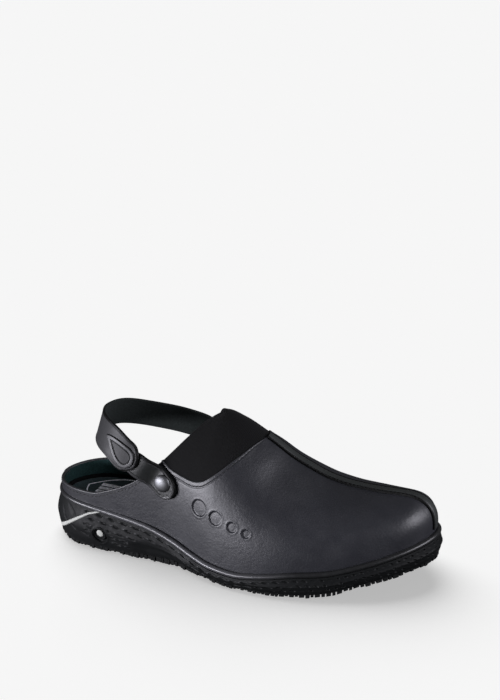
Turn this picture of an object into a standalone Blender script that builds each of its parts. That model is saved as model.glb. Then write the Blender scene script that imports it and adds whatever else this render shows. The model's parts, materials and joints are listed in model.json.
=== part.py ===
"""Right-foot work clog with a closed toe, an open heel and a heel strap.

The toe points along +X, the outer side faces -Y and +Z is up. Lengths are in metres.
Every form follows one plan outline of the sole and a few short tables of sections, whose
entries are shares of the driving sizes below.
"""

import math

import bmesh
import bpy
import numpy as np
from mathutils import Matrix, Quaternion, Vector
from mathutils.bvhtree import BVHTree

MM = 0.001

# Driving sizes
SOLE_LENGTH = 280 * MM
BALL_WIDTH = 105 * MM
INSTEP_HEIGHT = 107 * MM
COLLAR_HEIGHT = 44 * MM
BEAD_HEIGHT = 33 * MM
BED_HEIGHT = 24 * MM
TOE_SPRING = 16 * MM
CLEARANCE = 0.3 * MM
LAID_CLEARANCE = 0.5 * MM  # under a piece laid on a curved face, whose facets differ from its own

# Walls and layers
UPPER_WALL = 2.2 * MM
UPPER_BULGE = 2.2 * MM
GORE_WALL = 1.6 * MM
GORE_SINK = 0.5 * MM
LUG_DEPTH = 2.5 * MM
LUG_GAP = 1.1 * MM
TREAD_PLATE = 1.8 * MM
TREAD_INSET = 2.6 * MM
EDGE_LUG_DEPTH = 6.5 * MM
BEAD_WIDTH = 3.6 * MM
LEDGE_DROP = 4.0 * MM
LEDGE_WIDTH = UPPER_WALL + 2 * LAID_CLEARANCE
INSOLE_WALL = 3.6 * MM
INSOLE_CUP = 3.0 * MM
SIDE_DIMPLE_DEPTH = 0.7 * MM
SIDE_DIMPLE_MARGIN = 0.9 * MM
RAY_REACH = 12 * MM

# Centre tape
TAPE_WIDTH = 9.0 * MM
TAPE_WALL = 1.1 * MM
TAPE_STEPS = 26

# Heel strap and its caps
STRAP_WIDTH = 20.5 * MM
STRAP_WALL = 2.2 * MM
STRAP_STEPS = 28
CAP_RADIUS = 6.2 * MM
CAP_DOME = 3.0 * MM
CAP_SHANK = 1.8 * MM
CAP_WASHER_RADIUS = 4.8 * MM
CAP_WASHER_WALL = 0.9 * MM
LAP_LENGTH = 24 * MM
LAP_TO_CAP = 19 * MM
DROP_LENGTH = 25 * MM
DROP_WIDTH = 15 * MM
DROP_WALL = 1.2 * MM

# Inlays in the heel's outer side. along: share of SOLE_LENGTH. level: from tread to bead.
BUTTON_RADIUS = 5.2 * MM
BUTTON_DEPTH = 1.8 * MM
BUTTON_RIM = 1.1 * MM
BUTTON_ALONG = 0.166
BUTTON_LEVEL = 0.33
STRIPE_WIDTH = 3.0 * MM
STRIPE_WALL = 0.8 * MM
STRIPE_STEPS = 14
STRIPE = {
    "along": (0.006, 0.035, 0.085, 0.130, 0.170),
    "level": (0.05, 0.27, 0.53, 0.72, 0.84),
    "width": (1.00, 1.00, 0.80, 0.55, 0.30),
}

COLUMNS = 60
BED_CELLS = 5

# Plan outline of the sole from the heel's back along the outer side to the toe and back.
# along: share of SOLE_LENGTH. across: share of BALL_WIDTH.
OUTLINE = (
    (0.000, 0.000),
    (0.026, -0.180),
    (0.085, -0.285),
    (0.170, -0.322),
    (0.270, -0.342),
    (0.370, -0.378),
    (0.460, -0.462),
    (0.540, -0.510),
    (0.630, -0.520),
    (0.720, -0.485),
    (0.810, -0.410),
    (0.890, -0.305),
    (0.950, -0.175),
    (0.987, -0.040),
    (1.000, 0.090),
    (0.985, 0.225),
    (0.935, 0.350),
    (0.850, 0.445),
    (0.720, 0.480),
    (0.600, 0.432),
    (0.480, 0.350),
    (0.370, 0.315),
    (0.260, 0.322),
    (0.160, 0.330),
    (0.080, 0.290),
    (0.026, 0.180),
)

# Sole heights along the foot.
# rise: underside, share of TOE_SPRING. outer, inner: bead on each side, share of BEAD_HEIGHT.
# bed: top of the midsole under the insole, share of BED_HEIGHT.
SOLE_SECTIONS = {
    "along": (0.00, 0.10, 0.20, 0.29, 0.37, 0.43, 0.49, 0.55, 0.62, 0.70, 0.78, 0.86, 0.93, 1.00),
    "rise": (0.22, 0.00, 0.00, 0.00, 0.06, 0.10, 0.05, 0.00, 0.00, 0.00, 0.13, 0.52, 0.79, 1.00),
    "outer": (1.06, 1.02, 0.94, 0.84, 0.66, 0.51, 0.41, 0.38, 0.45, 0.56, 0.62, 0.77, 0.92, 1.08),
    "inner": (1.06, 1.03, 0.97, 0.88, 0.76, 0.65, 0.55, 0.49, 0.49, 0.56, 0.62, 0.77, 0.92, 1.08),
    "bed": (1.00, 0.96, 0.92, 0.83, 0.71, 0.58, 0.50, 0.44, 0.41, 0.40, 0.47, 0.66, 0.84, 1.03),
}

# Top line of the last, which is the centre seam in front of the throat.
# height: share of INSTEP_HEIGHT. shift: towards the inner side, share of BALL_WIDTH.
RIDGE = {
    "along": (0.12, 0.25, 0.38, 0.465, 0.505, 0.570, 0.630, 0.675, 0.73, 0.79, 0.85, 0.89, 0.93),
    "height": (0.82, 0.92, 0.98, 0.990, 0.955, 0.845, 0.735, 0.672, 0.610, 0.574, 0.560, 0.557, 0.550),
    "shift": (0.00, 0.00, 0.01, 0.020, 0.025, 0.040, 0.050, 0.057, 0.065, 0.075, 0.085, 0.090, 0.095),
}

# Where the wall that starts at each point of the outline ends on the ridge, and its shape.
# top: share along the ridge. square: 2 is an ellipse, more is a squarer shoulder.
# bulge: share of UPPER_BULGE.
WALLS = {
    "along": (0.00, 0.10, 0.24, 0.40, 0.60, 0.78, 0.90, 0.97, 1.00),
    "top": (0.16, 0.19, 0.27, 0.405, 0.60, 0.775, 0.860, 0.895, 0.905),
    "square": (2.60, 2.60, 2.50, 2.10, 1.85, 1.88, 2.10, 2.28, 2.35),
    "bulge": (1.60, 1.60, 1.80, 1.40, 1.00, 1.00, 1.00, 1.00, 1.00),
}

# Collar line, share of COLLAR_HEIGHT, up to the corner of the elastic panel.
COLLAR = {
    "along": (0.00, 0.07, 0.135, 0.20, 0.263, 0.31, 0.341),
    "outer": (0.92, 0.945, 0.95, 1.08, 1.29, 1.53, 1.71),
    "inner": (0.94, 0.95, 0.920, 0.93, 1.06, 1.30, 1.62),
}
CORNER_ALONG = 0.341
CORNER_ALONG_INNER = 0.375
THROAT_ALONG = 0.462
SEAM_ALONG = 0.572

# Edges of the elastic panel between its corner and the ridge, as shares of the height
# from the corner to the ridge.
THROAT = {
    "along": (0.341, 0.370, 0.402, 0.435, 0.455, 0.462),
    "height": (0.00, 0.30, 0.62, 0.90, 0.985, 1.00),
}
PANEL = {
    "along": (0.341, 0.364, 0.396, 0.428, 0.456, 0.478, 0.496, 0.514, 0.530, 0.543, 0.562, 0.572),
    "height": (0.00, -0.15, -0.24, -0.28, -0.23, -0.11, 0.01, 0.17, 0.35, 0.52, 0.85, 1.00),
}

# Middle of the heel strap where it hangs free, from the inner side round the heel.
# along: share of SOLE_LENGTH. across: share of BALL_WIDTH. height: share of INSTEP_HEIGHT.
# lean: how far the top edge tips in towards the ankle, in degrees.
STRAP_PATH = (
    (0.352, 0.380, 0.648, 4.0),
    (0.321, 0.372, 0.684, 4.0),
    (0.270, 0.354, 0.713, 5.0),
    (0.230, 0.320, 0.734, 8.0),
    (0.191, 0.260, 0.760, 12.0),
    (0.160, 0.150, 0.796, 15.0),
    (0.151, 0.010, 0.820, 17.0),
    (0.162, -0.133, 0.836, 17.0),
    (0.198, -0.252, 0.832, 15.0),
    (0.230, -0.305, 0.792, 12.0),
    (0.251, -0.328, 0.743, 9.0),
    (0.273, -0.340, 0.695, 7.0),
    (0.299, -0.345, 0.653, 5.0),
)
# Places on the walls where the strap ends seat. along and height are shares as above.
INNER_SEAT = ((0.428, 0.425), (0.402, 0.495), (0.378, 0.575))
OUTER_SEAT = ((0.326, 0.617), (0.351, 0.581), (0.385, 0.524))

# Sunk discs on the outer wall. along: share of SOLE_LENGTH. height: share of INSTEP_HEIGHT.
DISCS = (
    (0.454, 0.475, 5.9 * MM),
    (0.501, 0.438, 4.9 * MM),
    (0.546, 0.403, 3.6 * MM),
    (0.583, 0.378, 3.0 * MM),
)
DISC_DEPTH = 0.7 * MM

OUTER, INNER = "outer", "inner"


# Curves

def spline(points, closed):
    """A cubic through the points, as (lengths at the points, points, second derivatives).

    Lengths run through the first three columns. Further columns follow them."""
    points = np.asarray(points, float)
    if closed:
        points = np.vstack([points, points[:1]])
    steps = np.linalg.norm(np.diff(points[:, :3], axis=0), axis=1)
    knots = np.concatenate([[0], np.cumsum(steps)])
    count = len(points)
    matrix = np.zeros((count, count))
    right = np.zeros((count, points.shape[1]))
    slopes = np.diff(points, axis=0) / steps[:, None]
    for i in range(1, count - 1):
        matrix[i, i - 1 : i + 2] = steps[i - 1], 2 * (steps[i - 1] + steps[i]), steps[i]
        right[i] = 6 * (slopes[i] - slopes[i - 1])
    if closed:
        matrix[0, 0], matrix[0, -1] = 1, -1
        matrix[-1, [0, 1, -2, -1]] = 2 * steps[0], steps[0], steps[-1], 2 * steps[-1]
        right[-1] = 6 * (slopes[0] - slopes[-1])
    else:
        matrix[0, 0] = matrix[-1, -1] = 1
    return knots, points, np.linalg.solve(matrix, right)


def on_spline(curve, at):
    """(points, derivatives) of a spline at these lengths."""
    knots, points, bends = curve
    at = np.atleast_1d(at)
    i = np.clip(np.searchsorted(knots, at, side="right") - 1, 0, len(knots) - 2)
    step = (knots[i + 1] - knots[i])[:, None]
    b = (at - knots[i])[:, None] / step
    a = 1 - b
    place = a * points[i] + b * points[i + 1]
    place = place + ((a**3 - a) * bends[i] + (b**3 - b) * bends[i + 1]) * step**2 / 6
    slope = (points[i + 1] - points[i]) / step
    slope = slope + ((3 * b**2 - 1) * bends[i + 1] - (3 * a**2 - 1) * bends[i]) * step / 6
    return place, slope


def read(table, column, at):
    """A column of a table at these stations, by a monotone cubic, which never overshoots a row."""
    x = np.asarray(table["along"], float)
    y = np.asarray(table[column], float)
    at = np.clip(at, x[0], x[-1])
    h, d = np.diff(x), np.diff(y) / np.diff(x)
    slope = np.zeros_like(x)
    same = d[:-1] * d[1:] > 0
    weight = 3 * (h[:-1] + h[1:])
    first, second = 2 * h[1:] + h[:-1], h[1:] + 2 * h[:-1]
    with np.errstate(divide="ignore", invalid="ignore"):
        mean = weight / (first / d[:-1] + second / d[1:])
    slope[1:-1] = np.where(same, mean, 0)
    slope[0], slope[-1] = d[0], d[-1]
    i = np.clip(np.searchsorted(x, at, side="right") - 1, 0, len(x) - 2)
    s = (at - x[i]) / h[i]
    cubic = (2 * s**3 - 3 * s**2 + 1) * y[i] + (3 * s**2 - 2 * s**3) * y[i + 1]
    return cubic + h[i] * ((s**3 - 2 * s**2 + s) * slope[i] + (s**3 - s**2) * slope[i + 1])


OUTLINE_CURVE = spline(np.array(OUTLINE) * (SOLE_LENGTH, BALL_WIDTH), closed=True)


def length_table():
    """Turns t, which is 0 at the rearmost point and 0.5 at the foremost, into spline lengths."""
    around = OUTLINE_CURVE[0][-1]
    fine = np.linspace(-0.25 * around, 1.25 * around, 6001)
    place = on_spline(OUTLINE_CURVE, np.mod(fine, around))[0]
    middle = np.abs(fine - 0.5 * around) < 0.25 * around
    rear = np.argmin(np.where(np.abs(fine) < 0.2 * around, place[:, 0], 1e9))
    front = np.argmax(np.where(middle, place[:, 0], -1e9))
    run = np.concatenate([[0], np.cumsum(np.linalg.norm(np.diff(place, axis=0), axis=1))])
    whole = np.interp(fine[rear] + around, fine, run) - run[rear]
    first = run[front] - run[rear]
    past = run - run[rear]
    t = np.where(past < first, 0.5 * past / first, 0.5 + 0.5 * (past - first) / (whole - first))
    return t, fine


LENGTH_TABLE = length_table()


def outline(t, inset=0.0):
    """Plan points of the sole's outline moved inwards, as an array of x and y."""
    lengths = np.interp(np.mod(t, 1.0), *LENGTH_TABLE)
    place, slope = on_spline(OUTLINE_CURVE, np.mod(lengths, OUTLINE_CURVE[0][-1]))
    slope = slope / np.linalg.norm(slope, axis=1)[:, None]
    outward = np.stack([slope[:, 1], -slope[:, 0]], axis=1)
    return place - outward * np.reshape(inset, (-1, 1))


def outward_at(t):
    return outline(t) - outline(t, 1.0)


OUTER_T = np.linspace(0, 0.5, 1601)
INNER_T = np.linspace(1 - 1e-9, 0.5, 1601)
FAR_BACK, FAR_FRONT = outline(OUTER_T[[0, -1]])[:, 0]


def along_of(t):
    """Share of the length at t, from 0 at the rearmost point to 1 at the foremost."""
    return (outline(t)[:, 0] - FAR_BACK) / (FAR_FRONT - FAR_BACK)


def t_at(along, side):
    """The t where the outline is at this share of the length on one side."""
    t = OUTER_T if side == OUTER else INNER_T
    return np.interp(along, np.maximum.accumulate(along_of(t)), t)


def on_outer_side(t):
    return np.mod(t, 1.0) <= 0.5


def by_side(table, outer, inner, t, along):
    return np.where(on_outer_side(t), read(table, outer, along), read(table, inner, along))


# Sole heights

def rise(x):
    return read(SOLE_SECTIONS, "rise", x / SOLE_LENGTH) * TOE_SPRING


def bead_top(t):
    return by_side(SOLE_SECTIONS, "outer", "inner", t, along_of(t)) * BEAD_HEIGHT


def bed_top(x):
    return read(SOLE_SECTIONS, "bed", x / SOLE_LENGTH) * BED_HEIGHT


# The upper's surface

UPPER_INSET = BEAD_WIDTH + LAID_CLEARANCE
SWELL = 2.1


def wall_ends(t):
    """Foot point, ridge point and shoulder shape of the wall that starts at t."""
    t = np.atleast_1d(np.asarray(t, float))
    along = along_of(t)
    foot = np.column_stack([outline(t, UPPER_INSET), bead_top(t) - LEDGE_DROP + LAID_CLEARANCE])
    top = read(WALLS, "top", along)
    ridge = np.column_stack([
        top * SOLE_LENGTH,
        read(RIDGE, "shift", top) * BALL_WIDTH,
        read(RIDGE, "height", top) * INSTEP_HEIGHT,
    ])
    return foot, ridge, read(WALLS, "square", along)


def wall(t, angle):
    """Points of the upper's outer surface. angle is 0 at the sole and a right angle at the ridge."""
    t = np.atleast_1d(np.asarray(t, float))
    angle = np.broadcast_to(angle, t.shape)
    foot, ridge, square = wall_ends(t)
    up = np.sin(angle) ** (2 / SWELL)
    inward = 1 - np.maximum(np.cos(angle), 0) ** (2 / square)
    place = foot + (ridge - foot) * np.column_stack([inward, inward, up])
    bulge = UPPER_BULGE * read(WALLS, "bulge", along_of(t)) * np.sin(2 * angle) ** 2
    place[:, :2] += outward_at(t) * bulge[:, None]
    return place


def angle_at(t, height):
    """The wall's angle at this height above the floor."""
    foot, ridge, _ = wall_ends(t)
    share = np.clip((height - foot[:, 2]) / (ridge[:, 2] - foot[:, 2]), 0, 1)
    return np.arcsin(share ** (SWELL / 2))


def wall_seat(along, height, side):
    """Point and outward normal of the wall at a share of the length and a height."""
    t = OUTER_T if side == OUTER else INNER_T
    place = wall(t, angle_at(t, height))
    here = np.interp(along * SOLE_LENGTH, np.maximum.accumulate(place[:, 0]), t)
    angle = angle_at(here, height)
    step = 0.003
    across = wall(here + step, angle) - wall(here - step, angle)
    up = wall(here, angle + step) - wall(here, angle - step)
    normal = np.cross(across, up)[0]
    point = wall(here, angle)[0]
    return point, normal / np.linalg.norm(normal)


def inner_along(along):
    """Where a place of the tables is on the inner side, whose corner is further forward."""
    return np.interp(along, (0, CORNER_ALONG, THROAT_ALONG, 1), (0, CORNER_ALONG_INNER, THROAT_ALONG, 1))


def table_along(t):
    """The tables' share of the length at t."""
    along = along_of(t)
    inner = np.interp(along, (0, CORNER_ALONG_INNER, THROAT_ALONG, 1), (0, CORNER_ALONG, THROAT_ALONG, 1))
    return np.where(on_outer_side(t), along, inner)


def edge_angle(t, table):
    """Angle of the collar and, past the panel's corner, of the edge that the table gives."""
    t = np.atleast_1d(np.asarray(t, float))
    along = table_along(t)
    ridge = wall_ends(t)[1][:, 2]
    collar = by_side(COLLAR, "outer", "inner", t, along) * COLLAR_HEIGHT
    corner = np.where(on_outer_side(t), COLLAR["outer"][-1], COLLAR["inner"][-1]) * COLLAR_HEIGHT
    edge = corner + read(table, "height", along) * (ridge - corner)
    angle = angle_at(t, np.where(along <= CORNER_ALONG, collar, edge))
    return np.where(along >= table["along"][-1] - 1e-5, math.pi / 2, angle)


def stations(stops, counts):
    """Shares of the length through the stops, with so many steps between each two, evenly along the rim."""
    rows = []
    for first, last, count in zip(stops, stops[1:], counts):
        a, b = t_at(first, OUTER), t_at(last, OUTER)
        rows.append(along_of(np.linspace(a, b, count, endpoint=False)))
    return np.concatenate([*rows, stops[-1:]])


# Mesh helpers

def material(name, colour, roughness, metallic=0.0):
    made = bpy.data.materials.new(name)
    made.use_nodes = True
    shader = made.node_tree.nodes["Principled BSDF"]
    shader.inputs["Base Color"].default_value = (*colour, 1)
    shader.inputs["Roughness"].default_value = roughness
    shader.inputs["Metallic"].default_value = metallic
    return made


def add_object(name, points, faces, look, merge=0.0):
    mesh = bpy.data.meshes.new(name)
    mesh.from_pydata([tuple(p) for p in points], [], faces)
    made = bpy.data.objects.new(name, mesh)
    bpy.context.scene.collection.objects.link(made)
    shape = bmesh.new()
    shape.from_mesh(mesh)
    if merge:
        bmesh.ops.remove_doubles(shape, verts=shape.verts, dist=merge)
    bmesh.ops.recalc_face_normals(shape, faces=shape.faces)
    shape.to_mesh(mesh)
    shape.free()
    mesh.materials.append(look)
    mesh.shade_smooth()
    mesh.set_sharp_from_angle(angle=math.radians(40))
    return made


def sink(obj, depth):
    """Moves a surface inwards along its normals."""
    shape = bmesh.new()
    shape.from_mesh(obj.data)
    shape.normal_update()
    moves = [(v, v.normal * depth) for v in shape.verts]
    for vertex, move in moves:
        vertex.co -= move
    shape.to_mesh(obj.data)
    shape.free()


def thicken(obj, wall_size):
    """Gives an open surface a wall on its inner side."""
    solid = obj.modifiers.new("wall", "SOLIDIFY")
    solid.thickness = wall_size
    solid.offset = -1
    solid.use_even_offset = False
    solid.use_rim = True


def cut(obj, cutter):
    """Cuts a hidden helper out of the object."""
    cutter.hide_render = True
    cutter.display_type = "WIRE"
    hole = obj.modifiers.new("cut", "BOOLEAN")
    hole.operation = "DIFFERENCE"
    hole.solver = "EXACT"
    hole.object = cutter


def strip_faces(rows, width, closed):
    """Quads between rows of points that lie one after the other in a list."""
    last = width if closed else width - 1
    return [
        (
            r * width + c,
            r * width + (c + 1) % width,
            (r + 1) * width + (c + 1) % width,
            (r + 1) * width + c,
        )
        for r in range(rows - 1)
        for c in range(last)
    ]


def fill_ring(points, ring, height, cells):
    """Closes a ring of points with strips from side to side and returns the faces.

    height(x, y, share) gives z inside the ring. The inner points are added to the list."""
    half = len(ring) // 2
    rows = []
    for i in range(1, half):
        a, b = points[ring[i]], points[ring[-i]]
        row = [ring[i]]
        for k in range(1, cells):
            share = k / cells
            x, y = a[0] + (b[0] - a[0]) * share, a[1] + (b[1] - a[1]) * share
            points.append((x, y, height(x, y, share)))
            row.append(len(points) - 1)
        rows.append([*row, ring[-i]])
    faces = [(ring[0], rows[0][k + 1], rows[0][k]) for k in range(cells)]
    faces += [(ring[half], rows[-1][k], rows[-1][k + 1]) for k in range(cells)]
    for first, second in zip(rows, rows[1:]):
        faces += [(first[k], first[k + 1], second[k + 1], second[k]) for k in range(cells)]
    return faces


def ring_points(t, inset, height):
    place = outline(t, inset)
    return [(x, y, z) for (x, y), z in zip(place, np.broadcast_to(height, t.shape))]


def surface_tree(obj):
    """The object's faces, for finding where a ray meets them."""
    mesh = obj.data
    return BVHTree.FromPolygons([v.co.copy() for v in mesh.vertices], [tuple(p.vertices) for p in mesh.polygons])


def lay_band(name, look, centres, normals, halves, tree, wall_size, lift=0.0):
    """A flat piece laid on a surface along a path: one station per centre, as wide as its half width."""
    spread = (-1.0, -0.86, -0.42, 0.0, 0.42, 0.86, 1.0)
    rounded = (0.45, 1.0, 1.0, 1.0, 1.0, 1.0, 0.45)
    tangents = np.gradient(np.asarray(centres), axis=0)
    lower, upper = [], []
    for centre, normal, tangent, half in zip(centres, normals, tangents, halves):
        normal = Vector(normal).normalized()
        side = Vector(tangent).cross(normal).normalized()
        for j, full in zip(spread, rounded):
            start = Vector(centre) + side * (half * j) + normal * RAY_REACH
            hit, face_normal, _, _ = tree.ray_cast(start, -normal)
            if hit is None:
                hit, face_normal, _, _ = tree.find_nearest(Vector(centre) + side * (half * j))
            if face_normal.dot(normal) < 0:
                face_normal = -face_normal
            seat = hit + normal * (LAID_CLEARANCE + lift)
            lower.append(seat)
            upper.append(seat + normal * (wall_size * full))
    return closed_band(name, look, lower, upper, len(spread))


def closed_band(name, look, lower, upper, width):
    """A closed solid between a lower and an upper grid of points."""
    count = len(lower) // width
    grid = strip_faces(count, width, closed=False)
    n = len(lower)
    faces = grid + [tuple(n + i for i in face) for face in grid]
    rim = [r * width for r in range(count)]
    rim += [(count - 1) * width + c for c in range(1, width)]
    rim += [r * width + width - 1 for r in range(count - 2, -1, -1)]
    rim += list(range(width - 2, 0, -1))
    faces += [(a, b, n + b, n + a) for a, b in zip(rim, rim[1:] + rim[:1])]
    return add_object(name, [*lower, *upper], faces, look)


def lathe(name, look, profile, place, axis, segments=14):
    """A solid turned from (radius, height) points, whose first and last points are on the axis."""
    points = [(0, 0, profile[0][1])]
    for radius, height in profile[1:-1]:
        for i in range(segments):
            turn = 2 * math.pi * i / segments
            points.append((radius * math.cos(turn), radius * math.sin(turn), height))
    points.append((0, 0, profile[-1][1]))
    rings = len(profile) - 2
    faces = [(0, 1 + (i + 1) % segments, 1 + i) for i in range(segments)]
    faces += [tuple(1 + k for k in face) for face in strip_faces(rings, segments, closed=True)]
    end, last = len(points) - 1, 1 + (rings - 1) * segments
    faces += [(end, last + i, last + (i + 1) % segments) for i in range(segments)]
    turned = Vector(axis).to_track_quat("Z", "Y").to_matrix().to_4x4()
    where = Matrix.Translation(Vector(place)) @ turned
    return add_object(name, [where @ Vector(p) for p in points], faces, look)


# Sole

def sole_columns():
    return np.arange(COLUMNS) / COLUMNS


def tread_under(x):
    return rise(x) + LUG_DEPTH


def make_outsole(look):
    """Tread plate with a row of edge lugs all round and staggered blocks inside it."""
    t = sole_columns()
    under = tread_under(outline(t)[:, 0])
    inner = outline(t, TREAD_INSET + EDGE_LUG_DEPTH)
    points = ring_points(t, TREAD_INSET + 0.8 * MM, under)
    points += [(x, y, tread_under(x)) for x, y in inner]
    points += ring_points(t, TREAD_INSET, under + TREAD_PLATE / 2)
    points += ring_points(t, TREAD_INSET, under + TREAD_PLATE)
    n = COLUMNS
    band = strip_faces(2, n, closed=True)
    outside = [
        (s * n + i, s * n + (i + 1) % n, e * n + (i + 1) % n, e * n + i)
        for s, e in ((0, 2), (2, 3))
        for i in range(n)
    ]
    under_ring, top_ring = list(range(n, 2 * n)), list(range(3 * n, 4 * n))
    inside = fill_ring(points, under_ring, lambda x, y, s: tread_under(x), BED_CELLS)
    top = fill_ring(points, top_ring, lambda x, y, s: tread_under(x) + TREAD_PLATE, BED_CELLS)
    made = add_object("outsole", points, band + outside + inside + top, look)
    add_lugs(made, len(band), len(band) + len(outside))
    return made


def add_lugs(obj, edge_count, inner_from):
    """Pushes lugs down from the underside: every edge cell and every other inner cell."""
    shape = bmesh.new()
    shape.from_mesh(obj.data)
    shape.faces.ensure_lookup_table()
    first = inner_from + 2 * BED_CELLS
    last = first + (COLUMNS // 2 - 2) * BED_CELLS
    blocks = []
    for i in range(first, last):
        row, column = divmod(i - first, BED_CELLS)
        shortest = min(e.calc_length() for e in shape.faces[i].edges)
        if (row + column) % 2 == 0 and shortest > 3 * LUG_GAP:
            blocks.append(shape.faces[i])
    edge = [shape.faces[i] for i in range(edge_count)]
    for faces in (edge, blocks):
        bmesh.ops.inset_individual(shape, faces=faces, thickness=LUG_GAP / 2, use_even_offset=True)
        for face in faces:
            for vertex in face.verts:
                vertex.co.z = rise(vertex.co.x)
    shape.to_mesh(obj.data)
    shape.free()


SIDE_LEVELS = (0.0, 0.18, 0.42, 0.70)
SIDE_INSETS = (TREAD_INSET - 0.4 * MM, 0.9 * MM, 0.0, 0.9 * MM)


def side_foot(t):
    return tread_under(outline(t)[:, 0]) + TREAD_PLATE + CLEARANCE


def midsole_rings(t):
    """(inset, height) of each ring of the midsole, from its underside round the bead to the bed."""
    low, bead = side_foot(t), bead_top(t)
    ledge = bead - LEDGE_DROP
    bed_edge = BEAD_WIDTH + LEDGE_WIDTH
    bed = np.minimum(ledge - 0.2 * MM, bed_top(outline(t, bed_edge)[:, 0]))
    side = [(inset, low + level * (bead - low)) for inset, level in zip(SIDE_INSETS, SIDE_LEVELS)]
    return (
        *side,
        (2.0 * MM, bead - 3.1 * MM),
        (0.7 * MM, bead - 2.3 * MM),
        (0.7 * MM, bead - 1.0 * MM),
        (2.0 * MM, bead),
        (BEAD_WIDTH - 0.7 * MM, bead - 0.1 * MM),
        (BEAD_WIDTH, bead - 1.2 * MM),
        (BEAD_WIDTH, ledge),
        (bed_edge, ledge),
        (bed_edge + 0.8 * MM, bed),
    )


def side_point(t, level):
    """Point on the midsole's side. level is 0 at the tread and 1 at the bead."""
    t = np.atleast_1d(t)
    x, y = outline(t, np.interp(level, SIDE_LEVELS, SIDE_INSETS))[0]
    low = side_foot(t)
    return np.array([x, y, (low + level * (bead_top(t) - low))[0]])


def side_normal(t, level):
    ahead = side_point(t + 0.004, level) - side_point(t - 0.004, level)
    low, high = np.clip((level - 0.05, level + 0.05), (0, 0.1), (0.6, 0.7))
    up = side_point(t, high) - side_point(t, low)
    normal = np.cross(ahead, up)
    return normal / np.linalg.norm(normal)


def make_midsole(look):
    t = sole_columns()
    rings = midsole_rings(t)
    points = [p for inset, height in rings for p in ring_points(t, inset, height)]
    n, count = COLUMNS, len(rings)
    faces = strip_faces(count, n, closed=True)
    low_ring, bed_ring = list(range(n)), list(range((count - 1) * n, count * n))
    faces += fill_ring(
        points, low_ring, lambda x, y, s: tread_under(x) + TREAD_PLATE + CLEARANCE, BED_CELLS)
    faces += fill_ring(points, bed_ring, lambda x, y, s: bed_top(x), BED_CELLS)
    made = add_object("midsole", points, faces, look)
    plain = surface_tree(made)
    add_side_pattern(made)
    return made, plain


def add_side_pattern(obj):
    """Sinks staggered dimples into two bands of the side, clear of the heel's inlays."""
    shape = bmesh.new()
    shape.from_mesh(obj.data)
    shape.faces.ensure_lookup_table()
    chosen = []
    for band in (1, 2):
        for column in range(COLUMNS):
            t = (column + 0.5) / COLUMNS
            if column % 2 == band % 2 and 0.14 < t < 0.97:
                chosen.append(shape.faces[band * COLUMNS + column])
    bmesh.ops.inset_individual(
        shape, faces=chosen, thickness=SIDE_DIMPLE_MARGIN, depth=-SIDE_DIMPLE_DEPTH, use_even_offset=True)
    shape.to_mesh(obj.data)
    shape.free()


def make_insole(look):
    """Footbed that follows the midsole's top and cups up a little at its edge."""
    t = sole_columns()
    inset = BEAD_WIDTH + LEDGE_WIDTH + 1.2 * MM
    cup = 0.55 * INSOLE_CUP
    low = bed_top(outline(t, inset)[:, 0]) + CLEARANCE
    points = ring_points(t, inset, low)
    points += ring_points(t, inset - 0.2 * MM, low + 0.6 * INSOLE_WALL)
    points += ring_points(t, inset + 0.8 * MM, low + INSOLE_WALL + cup)
    n = COLUMNS
    faces = strip_faces(3, n, closed=True)
    faces += fill_ring(points, list(range(n)), lambda x, y, s: bed_top(x) + CLEARANCE, BED_CELLS)

    def upper_side(x, y, share):
        return bed_top(x) + CLEARANCE + INSOLE_WALL + abs(2 * share - 1) ** 3 * cup

    faces += fill_ring(points, list(range(2 * n, 3 * n)), upper_side, BED_CELLS)
    return add_object("insole", points, faces, look)


# Upper

UPPER_STOPS = (0.0, CORNER_ALONG, THROAT_ALONG, SEAM_ALONG, 1.0)
UPPER_COUNTS = (12, 5, 9, 12)
UPPER_ROWS = 8
PANEL_STOPS = (CORNER_ALONG + 0.006, THROAT_ALONG - 0.022, THROAT_ALONG - 0.004, THROAT_ALONG, SEAM_ALONG - 0.005)
PANEL_COUNTS = (6, 3, 1, 9)
PANEL_ROWS = 5


def make_upper(look):
    """The leather: a ring round the foot that closes over the ridge in front of the panel."""
    along = stations(UPPER_STOPS, UPPER_COUNTS)
    t = np.concatenate([t_at(along, OUTER), t_at(inner_along(along), INNER)[-2:0:-1]])
    top = edge_angle(t, PANEL)
    points = []
    for row in range(UPPER_ROWS + 1):
        points += [tuple(p) for p in wall(t, top * row / UPPER_ROWS)]
    faces = strip_faces(UPPER_ROWS + 1, len(t), closed=True)
    made = add_object("upper", points, faces, look, merge=0.02 * MM)
    outside = surface_tree(made)
    thicken(made, UPPER_WALL)
    return made, outside


def edge_gap(t, angle):
    """The change of angle that leaves the clearance beside an edge."""
    step = 0.01
    move = np.linalg.norm(wall(t, angle - step) - wall(t, angle - 2 * step), axis=1) / step
    return 1.6 * LAID_CLEARANCE / np.maximum(move, 5 * MM)


def make_panel(look):
    """The elastic panel between the throat's edge and the leather, in two halves that meet on the ridge."""
    along = stations(PANEL_STOPS, PANEL_COUNTS)
    points, faces = [], []
    for side in (OUTER, INNER):
        t = t_at(along if side == OUTER else inner_along(along), side)
        low = edge_angle(t, PANEL)
        low = low + edge_gap(t, low)
        high = np.maximum(edge_angle(t, THROAT), low + 0.02)
        base = len(points)
        for row in range(PANEL_ROWS + 1):
            angle = np.minimum(low + (high - low) * row / PANEL_ROWS, math.pi / 2)
            points += [tuple(p) for p in wall(t, angle)]
        faces += [tuple(base + i for i in f) for f in strip_faces(PANEL_ROWS + 1, len(t), closed=False)]
    made = add_object("instep_panel", points, faces, look, merge=0.02 * MM)
    sink(made, GORE_SINK)
    thicken(made, GORE_WALL)
    return made


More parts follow.
